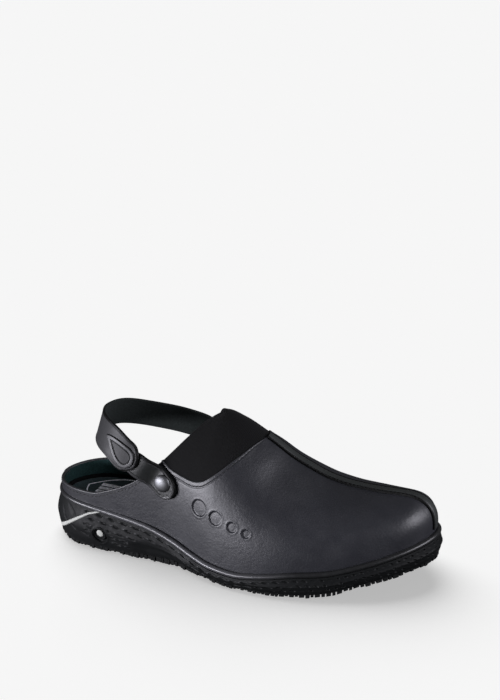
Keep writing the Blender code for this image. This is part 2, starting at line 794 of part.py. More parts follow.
def make_tape(look, tree):
    """Raised centre tape from the panel's tip along the ridge and down the toe to the bead."""
    ridge = np.linspace(SEAM_ALONG + 0.008, 1.0, 3 * TAPE_STEPS)
    tops = read(WALLS, "top", ridge) * SOLE_LENGTH
    along_top = np.column_stack([
        tops,
        read(RIDGE, "shift", tops / SOLE_LENGTH) * BALL_WIDTH,
        read(RIDGE, "height", tops / SOLE_LENGTH) * INSTEP_HEIGHT,
    ])
    down = wall(np.full(TAPE_STEPS, 0.5), np.linspace(math.pi / 2 - 0.05, 0.22, TAPE_STEPS))
    path = np.vstack([along_top, down])
    run = np.concatenate([[0], np.cumsum(np.linalg.norm(np.diff(path, axis=0), axis=1))])
    even = np.linspace(0, run[-1], TAPE_STEPS)
    path = np.column_stack([np.interp(even, run, path[:, k]) for k in range(3)])
    for _ in range(3):
        path[1:-1] = (path[:-2] + 2 * path[1:-1] + path[2:]) / 4
    tangents = np.gradient(path, axis=0)
    normals = [np.cross((0, 1, 0), tangent) * -1 for tangent in tangents]
    normals = [n if n[2] > 0 or n[0] > 0 else -n for n in normals]
    halves = np.full(len(path), TAPE_WIDTH / 2)
    return lay_band("centre_tape", look, path, normals, halves, tree, TAPE_WALL)


# Heel strap

def strap_curve():
    """Spline of the strap's middle and outward normal, from its inner end round the heel to its outer end."""
    places, normals = [], []
    free = np.array(STRAP_PATH) * (SOLE_LENGTH, BALL_WIDTH, INSTEP_HEIGHT, 1)
    slopes = on_spline(spline(free, closed=False), spline(free, closed=False)[0])[1]
    for along, height in INNER_SEAT:
        point, normal = wall_seat(along, height * INSTEP_HEIGHT, INNER)
        places.append(point + normal * (CLEARANCE + STRAP_WALL / 2))
        normals.append(normal)
    for (x, y, z, lean), slope in zip(free, slopes):
        outward = np.array([slope[1], -slope[0]]) / math.hypot(slope[0], slope[1])
        tip = math.radians(lean)
        places.append(np.array([x, y, z]))
        normals.append(np.array([*outward * math.cos(tip), math.sin(tip)]))
    for along, height in OUTER_SEAT:
        point, normal = wall_seat(along, height * INSTEP_HEIGHT, OUTER)
        places.append(point + normal * (CLEARANCE + STRAP_WALL / 2))
        normals.append(normal)
    return spline(np.column_stack([places, normals]), closed=False)


def half_widths(run, start_round, end_round):
    """Half width along a band of this running length, with round ends where asked."""
    half = STRAP_WIDTH / 2
    widths = np.full(len(run), half)
    for wanted, reach in ((start_round, run), (end_round, run[-1] - run)):
        if wanted:
            inside = np.clip(1 - reach / half, 0, 1)
            widths = np.minimum(widths, half * np.sqrt(np.maximum(1 - inside**2, 0.02)))
    return widths


def stand_off(centre, side, half, normal, tree):
    """How far a flat cross-section has to move out to clear the wall under it."""
    most = 0.0
    for j in (-1.0, -0.5, 0.0, 0.5, 1.0):
        start = centre + side * (half * j) + normal * RAY_REACH
        hit, _, _, distance = tree.ray_cast(start, -normal, RAY_REACH + STRAP_WALL)
        if hit is not None:
            most = max(most, RAY_REACH - distance + STRAP_WALL / 2 + LAID_CLEARANCE)
    return most


def make_strap(name, look, curve, first, last, lifts, steps, tree):
    """A flat band along part of the strap's path. lifts move its start and its end out from the path."""
    at = np.concatenate([
        first + np.array([0.0, 0.8, 2.2, 4.4]) * MM,
        np.linspace(first + 7.5 * MM, last - 7.5 * MM, steps),
        last - np.array([4.4, 2.2, 0.8, 0.0]) * MM,
    ])
    rows, slopes = on_spline(curve, at)
    run = at - at[0]
    halves = half_widths(run, True, True)
    rising = np.clip((run / run[-1] - 0.35) / 0.25, 0, 1)
    lifts = lifts[0] + (lifts[1] - lifts[0]) * rising**2 * (3 - 2 * rising)
    frames = []
    for row, slope in zip(rows, slopes):
        tangent = Vector(slope[:3]).normalized()
        side = tangent.cross(Vector(row[3:])).normalized()
        frames.append((Vector(row[:3]), side, side.cross(tangent).normalized()))
    offs = [stand_off(c, s, STRAP_WIDTH / 2, n, tree) for c, s, n in frames]
    reach = [max(offs[max(i - 2, 0) : i + 3]) for i in range(len(offs))]
    offs = [sum(reach[max(i - 1, 0) : i + 2]) / len(reach[max(i - 1, 0) : i + 2]) for i in range(len(offs))]
    lower, upper = [], []
    for (centre, side, normal), half, lift, off in zip(frames, halves, lifts, offs):
        centre = centre + normal * (lift + off)
        for j, thin in ((-1.0, 0.5), (-0.86, 1.0), (0.86, 1.0), (1.0, 0.5)):
            lower.append(centre + side * (half * j) - normal * (STRAP_WALL / 2 * thin))
            upper.append(centre + side * (half * j) + normal * (STRAP_WALL / 2 * thin))
    return closed_band(name, look, lower, upper, 4)


def cap_profile(stack):
    """Dome, shank and inner washer of a cap that holds a stack of this thickness."""
    r = CAP_RADIUS
    under = 2 * LAID_CLEARANCE
    return (
        (0, CAP_DOME),
        (0.45 * r, 0.90 * CAP_DOME),
        (0.78 * r, 0.60 * CAP_DOME),
        (0.97 * r, 0.18 * CAP_DOME),
        (r, 0.0),
        (CAP_SHANK, 0.0),
        (CAP_SHANK, -(stack + under)),
        (CAP_WASHER_RADIUS, -(stack + under)),
        (CAP_WASHER_RADIUS, -(stack + under + CAP_WASHER_WALL)),
        (0, -(stack + under + CAP_WASHER_WALL)),
    )


def add_cap(name, look, seat, side, through):
    """A cap at a seat on the wall, with a hole for its shank through the wall and the strap."""
    point, normal = wall_seat(seat[0], seat[1] * INSTEP_HEIGHT, side)
    tree = surface_tree(through[1])
    rim = Vector(normal).orthogonal().normalized() * CAP_RADIUS
    stand = 0.0
    for i in range(9):
        around = Quaternion(normal, 2 * math.pi * i / 8) @ rim if i < 8 else Vector()
        outer_face, _, _, _ = tree.ray_cast(Vector(point + normal * RAY_REACH) + around, Vector(-normal))
        if outer_face is not None:
            stand = max(stand, (outer_face - Vector(point)).dot(Vector(normal)))
    stack = stand + UPPER_WALL
    place = point + normal * (stand + LAID_CLEARANCE)
    lathe(name, look, cap_profile(stack), place, normal)
    radius = CAP_SHANK + CLEARANCE
    hole = ((0, 12 * MM), (radius, 12 * MM), (radius, -12 * MM), (0, -12 * MM))
    cutter = lathe(name + "_hole", look, hole, place, normal)
    for obj in through:
        cut(obj, cutter)


def add_drop_patch(look, curve, end, strap):
    """Raised drop on the long strap's outer end, with its tip towards the heel."""
    share = np.array((0.02, 0.10, 0.22, 0.38, 0.55, 0.72, 0.86, 0.95, 0.99))
    at = end - 2.5 * MM - DROP_LENGTH * (1 - share)
    rows = on_spline(curve, at)[0]
    halves = DROP_WIDTH / 2 * 1.32 * share**0.8 * np.sqrt(1 - share**3)
    centres, normals = rows[:, :3] + rows[:, 3:] * STRAP_WALL, rows[:, 3:]
    lay_band("drop_patch", look, centres, normals, halves, surface_tree(strap), DROP_WALL, CLEARANCE)


def add_stripe(look, tree):
    """Raised tapered line that climbs the heel's outer side."""
    along = np.linspace(STRIPE["along"][0], STRIPE["along"][-1], STRIPE_STEPS)
    t, levels = t_at(along, OUTER), read(STRIPE, "level", along)
    centres = [side_point(a, level) for a, level in zip(t, levels)]
    normals = [side_normal(a, level) for a, level in zip(t, levels)]
    halves = STRIPE_WIDTH / 2 * read(STRIPE, "width", along)
    lay_band("sole_stripe", look, centres, normals, halves, tree, STRIPE_WALL)


def add_button(look, midsole):
    """Round inlay in a recess in the heel's outer side."""
    t = t_at(BUTTON_ALONG, OUTER)
    normal = side_normal(t, BUTTON_LEVEL)
    place = side_point(t, BUTTON_LEVEL) - normal * BUTTON_DEPTH
    r, rim, top = BUTTON_RADIUS, BUTTON_RIM, BUTTON_DEPTH
    profile = (
        (0, 0.55 * top),
        (r - rim, 0.55 * top),
        (r - 0.8 * rim, top),
        (r - 0.2 * rim, top),
        (r, 0.8 * top),
        (r, CLEARANCE),
        (0, CLEARANCE),
    )
    lathe("sole_button", look, profile, place, normal)
    hole = ((0, 12 * MM), (r + CLEARANCE, 12 * MM), (r + CLEARANCE, 0), (0, 0))
    cut(midsole, lathe("sole_button_recess", look, hole, place, normal))


def sink_discs(look, upper):
    """Sinks a row of flat discs into the outer wall."""
    for number, (along, height, radius) in enumerate(DISCS, 1):
        point, normal = wall_seat(along, height * INSTEP_HEIGHT, OUTER)
        hole = ((0, 6 * MM), (radius, 6 * MM), (radius, -DISC_DEPTH), (0, -DISC_DEPTH))
        cut(upper, lathe(f"disc_{number}", look, hole, point, normal, 16))


def centre_on_sole():
    """Puts the origin under the middle of the sole's outline, with every piece under one empty."""
    plan = outline(np.arange(400) / 400)
    middle = (plan.max(axis=0) + plan.min(axis=0)) / 2
    shoe = bpy.data.objects.new("shoe", None)
    bpy.context.scene.collection.objects.link(shoe)
    shoe.location = (-middle[0], -middle[1], 0)
    for obj in bpy.data.objects:
        if obj is not shoe:
            obj.parent = shoe


def main():
    for obj in list(bpy.data.objects):
        bpy.data.objects.remove(obj)
    leather = material("leather", (0.035, 0.036, 0.040), 0.42)
    elastic = material("elastic", (0.010, 0.010, 0.011), 0.85)
    foam = material("moulded_foam", (0.030, 0.031, 0.033), 0.55)
    rubber = material("rubber", (0.012, 0.013, 0.013), 0.70)
    lining = material("lining", (0.012, 0.020, 0.020), 0.90)
    strap = material("strap", (0.022, 0.022, 0.024), 0.60)
    steel = material("dark_steel", (0.30, 0.31, 0.33), 0.30, 0.9)
    pale = material("pale_plastic", (0.55, 0.56, 0.56), 0.45)
    make_outsole(rubber)
    midsole, side_tree = make_midsole(foam)
    make_insole(lining)
    upper, outside = make_upper(leather)
    make_panel(elastic)
    make_tape(leather, outside)

    curve = strap_curve()
    inner_cap, outer_cap = curve[0][1], curve[0][-2]
    lap = outer_cap - LAP_TO_CAP
    stand = STRAP_WALL + CLEARANCE
    long_one = make_strap(
        "strap_long", strap, curve, inner_cap - STRAP_WIDTH / 2, lap, (0.0, stand), STRAP_STEPS, outside)
    short_one = make_strap(
        "strap_short", strap, curve, lap - LAP_LENGTH, outer_cap + STRAP_WIDTH / 2 + 1.5 * MM, (0.0, 0.0), 10, outside)
    add_drop_patch(strap, curve, lap, long_one)
    add_stripe(pale, side_tree)
    add_button(pale, midsole)
    sink_discs(leather, upper)
    add_cap("cap_outer", steel, OUTER_SEAT[-2], OUTER, (upper, short_one))
    add_cap("cap_inner", steel, INNER_SEAT[1], INNER, (upper, long_one))
    centre_on_sole()


main()
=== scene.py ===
"""Dressed scene of the right-foot work clog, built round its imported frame.

The toe points along +X, the outer side faces -Y and +Z is up. Lengths are in metres. The
surfaces are worked out in the foot's own coordinates, with the heel's back at x = 0, and
each finished mesh is then moved so that the middle of the sole's outline is the origin.
"""

import json
import math

import bpy
import numpy as np
from mathutils import Matrix, Vector
from mathutils.bvhtree import BVHTree

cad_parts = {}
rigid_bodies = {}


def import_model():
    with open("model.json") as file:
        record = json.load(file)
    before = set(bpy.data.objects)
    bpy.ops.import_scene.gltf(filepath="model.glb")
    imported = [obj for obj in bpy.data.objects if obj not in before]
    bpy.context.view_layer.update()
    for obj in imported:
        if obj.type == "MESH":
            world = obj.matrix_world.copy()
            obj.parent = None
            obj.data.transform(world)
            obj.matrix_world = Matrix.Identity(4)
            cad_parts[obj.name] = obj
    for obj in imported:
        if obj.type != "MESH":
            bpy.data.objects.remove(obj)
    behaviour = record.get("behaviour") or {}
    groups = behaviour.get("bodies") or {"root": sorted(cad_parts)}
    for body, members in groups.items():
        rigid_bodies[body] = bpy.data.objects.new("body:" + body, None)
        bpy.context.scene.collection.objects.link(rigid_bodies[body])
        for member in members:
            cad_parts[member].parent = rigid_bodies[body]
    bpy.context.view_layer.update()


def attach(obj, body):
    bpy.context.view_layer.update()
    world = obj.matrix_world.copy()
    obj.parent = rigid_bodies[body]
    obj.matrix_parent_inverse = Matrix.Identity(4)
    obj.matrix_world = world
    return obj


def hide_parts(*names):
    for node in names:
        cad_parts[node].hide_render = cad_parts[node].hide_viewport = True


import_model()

MM = 0.001

# Driving sizes
SOLE_LENGTH = 280 * MM
BALL_WIDTH = 105 * MM
INSTEP_HEIGHT = 107 * MM
COLLAR_HEIGHT = 44 * MM
BEAD_HEIGHT = 33 * MM
BED_HEIGHT = 24 * MM
TOE_SPRING = 16 * MM
CLEARANCE = 0.3 * MM
LAID_CLEARANCE = 0.5 * MM  # under a piece laid on a curved face, whose facets differ from its own

# Walls and layers
UPPER_WALL = 2.2 * MM
UPPER_BULGE = 2.2 * MM
LUG_DEPTH = 2.5 * MM
TREAD_PLATE = 1.8 * MM
TREAD_INSET = 2.6 * MM
EDGE_LUG_DEPTH = 6.5 * MM
BEAD_WIDTH = 3.6 * MM
LEDGE_DROP = 4.0 * MM
LEDGE_WIDTH = UPPER_WALL + 2 * LAID_CLEARANCE
INSOLE_WALL = 3.6 * MM
INSOLE_CUP = 3.0 * MM
RAY_REACH = 12 * MM

# Centre tape
TAPE_WIDTH = 9.0 * MM
TAPE_WALL = 1.1 * MM

# Heel strap and its caps
STRAP_WIDTH = 20.5 * MM
STRAP_WALL = 2.2 * MM
CAP_RADIUS = 6.2 * MM
CAP_DOME = 3.0 * MM
CAP_SHANK = 1.8 * MM
CAP_WASHER_RADIUS = 4.8 * MM
CAP_WASHER_WALL = 0.9 * MM
LAP_LENGTH = 24 * MM
LAP_TO_CAP = 22 * MM
DROP_LENGTH = 25 * MM
DROP_WIDTH = 15 * MM
DROP_WALL = 1.2 * MM

# Inlays in the heel's outer side. along: share of SOLE_LENGTH. level: from tread to bead.
BUTTON_RADIUS = 5.2 * MM
BUTTON_DEPTH = 1.8 * MM
BUTTON_RIM = 1.1 * MM
BUTTON_ALONG = 0.166
BUTTON_LEVEL = 0.33
STRIPE_WIDTH = 3.0 * MM
STRIPE_WALL = 0.8 * MM
STRIPE = {
    "along": (0.006, 0.035, 0.085, 0.130, 0.170),
    "level": (-0.12, 0.10, 0.48, 0.77, 0.93),
    "width": (1.00, 1.00, 0.80, 0.55, 0.30),
}

COLUMNS = 60
BED_CELLS = 5

# Plan outline of the sole from the heel's back along the outer side to the toe and back.
# along: share of SOLE_LENGTH. across: share of BALL_WIDTH.
OUTLINE = (
    (0.000, 0.000),
    (0.026, -0.180),
    (0.085, -0.285),
    (0.170, -0.322),
    (0.270, -0.342),
    (0.370, -0.378),
    (0.460, -0.462),
    (0.540, -0.510),
    (0.630, -0.520),
    (0.720, -0.485),
    (0.810, -0.410),
    (0.890, -0.305),
    (0.950, -0.175),
    (0.987, -0.040),
    (1.000, 0.090),
    (0.985, 0.225),
    (0.935, 0.350),
    (0.850, 0.445),
    (0.720, 0.480),
    (0.600, 0.432),
    (0.480, 0.350),
    (0.370, 0.315),
    (0.260, 0.322),
    (0.160, 0.330),
    (0.080, 0.290),
    (0.026, 0.180),
)

# Sole heights along the foot.
# rise: underside, share of TOE_SPRING. outer, inner: bead on each side, share of BEAD_HEIGHT.
# bed: top of the midsole under the insole, share of BED_HEIGHT.
SOLE_SECTIONS = {
    "along": (0.00, 0.10, 0.20, 0.29, 0.37, 0.43, 0.49, 0.55, 0.62, 0.70, 0.78, 0.86, 0.93, 1.00),
    "rise": (0.22, 0.00, 0.00, 0.00, 0.06, 0.10, 0.05, 0.00, 0.00, 0.00, 0.13, 0.52, 0.79, 1.00),
    "outer": (1.06, 1.02, 0.94, 0.84, 0.66, 0.51, 0.41, 0.38, 0.45, 0.56, 0.62, 0.77, 0.92, 1.08),
    "inner": (1.06, 1.03, 0.97, 0.88, 0.76, 0.65, 0.55, 0.49, 0.49, 0.56, 0.62, 0.77, 0.92, 1.08),
    "bed": (1.00, 0.96, 0.92, 0.83, 0.71, 0.58, 0.50, 0.44, 0.41, 0.40, 0.47, 0.66, 0.84, 1.03),
}

# Top line of the last, which is the centre seam in front of the throat.
# height: share of INSTEP_HEIGHT. shift: towards the inner side, share of BALL_WIDTH.
RIDGE = {
    "along": (0.12, 0.25, 0.38, 0.465, 0.505, 0.570, 0.630, 0.675, 0.73, 0.79, 0.85, 0.89, 0.93),
    "height": (0.82, 0.92, 0.98, 0.990, 0.955, 0.845, 0.735, 0.672, 0.610, 0.574, 0.560, 0.557, 0.550),
    "shift": (0.00, 0.00, 0.01, 0.020, 0.025, 0.040, 0.050, 0.057, 0.065, 0.075, 0.085, 0.090, 0.095),
}

# Where the wall that starts at each point of the outline ends on the ridge, and its shape.
# top: share along the ridge. square: 2 is an ellipse, more is a squarer shoulder.
# bulge: share of UPPER_BULGE.
WALLS = {
    "along": (0.00, 0.10, 0.24, 0.40, 0.60, 0.78, 0.90, 0.97, 1.00),
    "top": (0.16, 0.19, 0.27, 0.405, 0.60, 0.775, 0.860, 0.895, 0.905),
    "square": (2.60, 2.60, 2.50, 2.10, 1.85, 1.88, 2.10, 2.28, 2.35),
    "bulge": (1.60, 1.60, 1.80, 1.40, 1.00, 1.00, 1.00, 1.00, 1.00),
}

# Collar line, share of COLLAR_HEIGHT, up to the corner of the elastic panel.
COLLAR = {
    "along": (0.00, 0.07, 0.135, 0.20, 0.263, 0.31, 0.341),
    "outer": (0.92, 0.945, 0.95, 1.08, 1.29, 1.53, 1.71),
    "inner": (0.94, 0.95, 0.920, 0.93, 1.06, 1.30, 1.62),
}
CORNER_ALONG = 0.341
CORNER_ALONG_INNER = 0.375
THROAT_ALONG = 0.462
SEAM_ALONG = 0.572

# Edges of the elastic panel between its corner and the ridge, as shares of the height
# from the corner to the ridge.
THROAT = {
    "along": (0.341, 0.370, 0.402, 0.435, 0.455, 0.462),
    "height": (0.00, 0.30, 0.62, 0.90, 0.985, 1.00),
}
PANEL = {
    "along": (0.341, 0.364, 0.396, 0.428, 0.456, 0.478, 0.496, 0.514, 0.530, 0.543, 0.562, 0.572),
    "height": (0.00, -0.15, -0.24, -0.28, -0.23, -0.11, 0.01, 0.17, 0.35, 0.52, 0.85, 1.00),
}

# Middle of the heel strap where it hangs free, from the inner side round the heel.
# along: share of SOLE_LENGTH. across: share of BALL_WIDTH. height: share of INSTEP_HEIGHT.
# lean: how far the top edge tips in towards the ankle, in degrees.
STRAP_PATH = (
    (0.352, 0.380, 0.648, 4.0),
    (0.321, 0.372, 0.684, 4.0),
    (0.270, 0.354, 0.713, 5.0),
    (0.230, 0.320, 0.734, 8.0),
    (0.191, 0.260, 0.760, 12.0),
    (0.160, 0.150, 0.796, 15.0),
    (0.151, 0.010, 0.820, 17.0),
    (0.162, -0.135, 0.836, 17.0),
    (0.195, -0.260, 0.827, 18.0),
    (0.227, -0.313, 0.797, 18.0),
    (0.250, -0.332, 0.754, 15.0),
    (0.275, -0.341, 0.711, 11.0),
    (0.303, -0.343, 0.668, 5.0),
)
# Places on the walls where the strap ends seat. along and height are shares as above.
INNER_SEAT = ((0.428, 0.425), (0.402, 0.495), (0.378, 0.575))
OUTER_SEAT = ((0.329, 0.620), (0.352, 0.575), (0.381, 0.510))

# Sunk discs on the outer wall. along: share of SOLE_LENGTH. height: share of INSTEP_HEIGHT.
DISCS = (
    (0.454, 0.475, 5.9 * MM),
    (0.501, 0.438, 4.9 * MM),
    (0.546, 0.403, 3.6 * MM),
    (0.583, 0.378, 3.0 * MM),
)

OUTER, INNER = "outer", "inner"


# Curves

def spline(points, closed):
    """A cubic through the points, as (lengths at the points, points, second derivatives).

    Lengths run through the first three columns. Further columns follow them."""
    points = np.asarray(points, float)
    if closed:
        points = np.vstack([points, points[:1]])
    steps = np.linalg.norm(np.diff(points[:, :3], axis=0), axis=1)
    knots = np.concatenate([[0], np.cumsum(steps)])
    count = len(points)
    matrix = np.zeros((count, count))
    right = np.zeros((count, points.shape[1]))
    slopes = np.diff(points, axis=0) / steps[:, None]
    for i in range(1, count - 1):
        matrix[i, i - 1 : i + 2] = steps[i - 1], 2 * (steps[i - 1] + steps[i]), steps[i]
        right[i] = 6 * (slopes[i] - slopes[i - 1])
    if closed:
        matrix[0, 0], matrix[0, -1] = 1, -1
        matrix[-1, [0, 1, -2, -1]] = 2 * steps[0], steps[0], steps[-1], 2 * steps[-1]
        right[-1] = 6 * (slopes[0] - slopes[-1])
    else:
        matrix[0, 0] = matrix[-1, -1] = 1
    return knots, points, np.linalg.solve(matrix, right)


def on_spline(curve, at):
    """(points, derivatives) of a spline at these lengths."""
    knots, points, bends = curve
    at = np.atleast_1d(at)
    i = np.clip(np.searchsorted(knots, at, side="right") - 1, 0, len(knots) - 2)
    step = (knots[i + 1] - knots[i])[:, None]
    b = (at - knots[i])[:, None] / step
    a = 1 - b
    place = a * points[i] + b * points[i + 1]
    place = place + ((a**3 - a) * bends[i] + (b**3 - b) * bends[i + 1]) * step**2 / 6
    slope = (points[i + 1] - points[i]) / step
    slope = slope + ((3 * b**2 - 1) * bends[i + 1] - (3 * a**2 - 1) * bends[i]) * step / 6
    return place, slope


def read(table, column, at):
    """A column of a table at these stations, by a monotone cubic, which never overshoots a row."""
    x = np.asarray(table["along"], float)
    y = np.asarray(table[column], float)
    at = np.clip(at, x[0], x[-1])
    h, d = np.diff(x), np.diff(y) / np.diff(x)
    slope = np.zeros_like(x)
    same = d[:-1] * d[1:] > 0
    weight = 3 * (h[:-1] + h[1:])
    first, second = 2 * h[1:] + h[:-1], h[1:] + 2 * h[:-1]
    with np.errstate(divide="ignore", invalid="ignore"):
        mean = weight / (first / d[:-1] + second / d[1:])
    slope[1:-1] = np.where(same, mean, 0)
    slope[0], slope[-1] = d[0], d[-1]
    i = np.clip(np.searchsorted(x, at, side="right") - 1, 0, len(x) - 2)
    s = (at - x[i]) / h[i]
    cubic = (2 * s**3 - 3 * s**2 + 1) * y[i] + (3 * s**2 - 2 * s**3) * y[i + 1]
    return cubic + h[i] * ((s**3 - 2 * s**2 + s) * slope[i] + (s**3 - s**2) * slope[i + 1])


OUTLINE_CURVE = spline(np.array(OUTLINE) * (SOLE_LENGTH, BALL_WIDTH), closed=True)


def length_table():
    """Turns t, which is 0 at the rearmost point and 0.5 at the foremost, into spline lengths."""
    around = OUTLINE_CURVE[0][-1]
    fine = np.linspace(-0.25 * around, 1.25 * around, 6001)
    place = on_spline(OUTLINE_CURVE, np.mod(fine, around))[0]
    middle = np.abs(fine - 0.5 * around) < 0.25 * around
    rear = np.argmin(np.where(np.abs(fine) < 0.2 * around, place[:, 0], 1e9))
    front = np.argmax(np.where(middle, place[:, 0], -1e9))
    run = np.concatenate([[0], np.cumsum(np.linalg.norm(np.diff(place, axis=0), axis=1))])
    whole = np.interp(fine[rear] + around, fine, run) - run[rear]
    first = run[front] - run[rear]
    past = run - run[rear]
    t = np.where(past < first, 0.5 * past / first, 0.5 + 0.5 * (past - first) / (whole - first))
    return t, fine


LENGTH_TABLE = length_table()


def outline(t, inset=0.0):
    """Plan points of the sole's outline moved inwards, as an array of x and y."""
    lengths = np.interp(np.mod(t, 1.0), *LENGTH_TABLE)
    place, slope = on_spline(OUTLINE_CURVE, np.mod(lengths, OUTLINE_CURVE[0][-1]))
    slope = slope / np.linalg.norm(slope, axis=1)[:, None]
    outward = np.stack([slope[:, 1], -slope[:, 0]], axis=1)
    return place - outward * np.reshape(inset, (-1, 1))


def outward_at(t):
    return outline(t) - outline(t, 1.0)


OUTER_T = np.linspace(0, 0.5, 1601)
INNER_T = np.linspace(1 - 1e-9, 0.5, 1601)
FAR_BACK, FAR_FRONT = outline(OUTER_T[[0, -1]])[:, 0]


def along_of(t):
    """Share of the length at t, from 0 at the rearmost point to 1 at the foremost."""
    return (outline(t)[:, 0] - FAR_BACK) / (FAR_FRONT - FAR_BACK)


def t_at(along, side):
    """The t where the outline is at this share of the length on one side."""
    t = OUTER_T if side == OUTER else INNER_T
    return np.interp(along, np.maximum.accumulate(along_of(t)), t)


def on_outer_side(t):
    return np.mod(t, 1.0) <= 0.5


def by_side(table, outer, inner, t, along):
    return np.where(on_outer_side(t), read(table, outer, along), read(table, inner, along))


# Sole heights

def rise(x):
    return read(SOLE_SECTIONS, "rise", x / SOLE_LENGTH) * TOE_SPRING


def bead_top(t):
    return by_side(SOLE_SECTIONS, "outer", "inner", t, along_of(t)) * BEAD_HEIGHT


def bed_top(x):
    return read(SOLE_SECTIONS, "bed", x / SOLE_LENGTH) * BED_HEIGHT


# The upper's surface

UPPER_INSET = BEAD_WIDTH + LAID_CLEARANCE
SWELL = 2.1


def wall_ends(t):
    """Foot point, ridge point and shoulder shape of the wall that starts at t."""
    t = np.atleast_1d(np.asarray(t, float))
    along = along_of(t)
    foot = np.column_stack([outline(t, UPPER_INSET), bead_top(t) - LEDGE_DROP + LAID_CLEARANCE])
    top = read(WALLS, "top", along)
    ridge = np.column_stack([
        top * SOLE_LENGTH,
        read(RIDGE, "shift", top) * BALL_WIDTH,
        read(RIDGE, "height", top) * INSTEP_HEIGHT,
    ])
    return foot, ridge, read(WALLS, "square", along)


def wall(t, angle):
    """Points of the upper's outer surface. angle is 0 at the sole and a right angle at the ridge."""
    t = np.atleast_1d(np.asarray(t, float))
    angle = np.broadcast_to(angle, t.shape)
    foot, ridge, square = wall_ends(t)
    up = np.sin(angle) ** (2 / SWELL)
    inward = 1 - np.maximum(np.cos(angle), 0) ** (2 / square)
    place = foot + (ridge - foot) * np.column_stack([inward, inward, up])
    bulge = UPPER_BULGE * read(WALLS, "bulge", along_of(t)) * np.sin(2 * angle) ** 2
    place[:, :2] += outward_at(t) * bulge[:, None]
    return place


def angle_at(t, height):
    """The wall's angle at this height above the floor."""
    foot, ridge, _ = wall_ends(t)
    share = np.clip((height - foot[:, 2]) / (ridge[:, 2] - foot[:, 2]), 0, 1)
    return np.arcsin(share ** (SWELL / 2))


def wall_seat(along, height, side):
    """Point and outward normal of the wall at a share of the length and a height."""
    t = OUTER_T if side == OUTER else INNER_T
    place = wall(t, angle_at(t, height))
    here = np.interp(along * SOLE_LENGTH, np.maximum.accumulate(place[:, 0]), t)
    angle = angle_at(here, height)
    step = 0.003
    across = wall(here + step, angle) - wall(here - step, angle)
    up = wall(here, angle + step) - wall(here, angle - step)
    normal = np.cross(across, up)[0]
    point = wall(here, angle)[0]
    return point, normal / np.linalg.norm(normal)


def inner_along(along):
    """Where a place of the tables is on the inner side, whose corner is further forward."""
    return np.interp(along, (0, CORNER_ALONG, THROAT_ALONG, 1), (0, CORNER_ALONG_INNER, THROAT_ALONG, 1))


def table_along(t):
    """The tables' share of the length at t."""
    along = along_of(t)
    inner = np.interp(along, (0, CORNER_ALONG_INNER, THROAT_ALONG, 1), (0, CORNER_ALONG, THROAT_ALONG, 1))
    return np.where(on_outer_side(t), along, inner)


def edge_angle(t, table):
    """Angle of the collar and, past the panel's corner, of the edge that the table gives."""
    t = np.atleast_1d(np.asarray(t, float))
    along = table_along(t)
    ridge = wall_ends(t)[1][:, 2]
    collar = by_side(COLLAR, "outer", "inner", t, along) * COLLAR_HEIGHT
    corner = np.where(on_outer_side(t), COLLAR["outer"][-1], COLLAR["inner"][-1]) * COLLAR_HEIGHT
    edge = corner + read(table, "height", along) * (ridge - corner)
    angle = angle_at(t, np.where(along <= CORNER_ALONG, collar, edge))
    return np.where(along >= table["along"][-1] - 1e-5, math.pi / 2, angle)


# Sole

def sole_columns():
    return np.arange(COLUMNS) / COLUMNS


def tread_under(x):
    return rise(x) + LUG_DEPTH


SIDE_LEVELS = (0.0, 0.18, 0.42, 0.70)
SIDE_INSETS = (TREAD_INSET - 0.4 * MM, 0.9 * MM, 0.0, 0.9 * MM)


def side_foot(t):
    return tread_under(outline(t)[:, 0]) + TREAD_PLATE + CLEARANCE


def side_point(t, level):
    """Point on the midsole's side. level is 0 at the tread and 1 at the bead."""
    t = np.atleast_1d(t)
    x, y = outline(t, np.interp(level, SIDE_LEVELS, SIDE_INSETS))[0]
    low = side_foot(t)
    return np.array([x, y, (low + level * (bead_top(t) - low))[0]])


def side_normal(t, level):
    ahead = side_point(t + 0.004, level) - side_point(t - 0.004, level)
    low, high = np.clip((level - 0.05, level + 0.05), (0, 0.1), (0.6, 0.7))
    up = side_point(t, high) - side_point(t, low)
    normal = np.cross(ahead, up)
    return normal / np.linalg.norm(normal)


# Heel strap

def strap_curve():
    """Spline of the strap's middle and outward normal, from its inner end round the heel to its outer end."""
    places, normals = [], []
    free = np.array(STRAP_PATH) * (SOLE_LENGTH, BALL_WIDTH, INSTEP_HEIGHT, 1)
    slopes = on_spline(spline(free, closed=False), spline(free, closed=False)[0])[1]
    for along, height in INNER_SEAT:
        point, normal = wall_seat(along, height * INSTEP_HEIGHT, INNER)
        places.append(point + normal * (CLEARANCE + STRAP_WALL / 2))
        normals.append(normal)
    for (x, y, z, lean), slope in zip(free, slopes):
        outward = np.array([slope[1], -slope[0]]) / math.hypot(slope[0], slope[1])
        tip = math.radians(lean)
        places.append(np.array([x, y, z]))
        normals.append(np.array([*outward * math.cos(tip), math.sin(tip)]))
    for along, height in OUTER_SEAT:
        point, normal = wall_seat(along, height * INSTEP_HEIGHT, OUTER)
        places.append(point + normal * (CLEARANCE + STRAP_WALL / 2))
        normals.append(normal)
    return spline(np.column_stack([places, normals]), closed=False)


def half_widths(run, start_round, end_round):
    """Half width along a band of this running length, with round ends where asked."""
    half = STRAP_WIDTH / 2
    widths = np.full(len(run), half)
    for wanted, reach in ((start_round, run), (end_round, run[-1] - run)):
        if wanted:
            inside = np.clip(1 - reach / half, 0, 1)
            widths = np.minimum(widths, half * np.sqrt(np.maximum(1 - inside**2, 0.02)))
    return widths


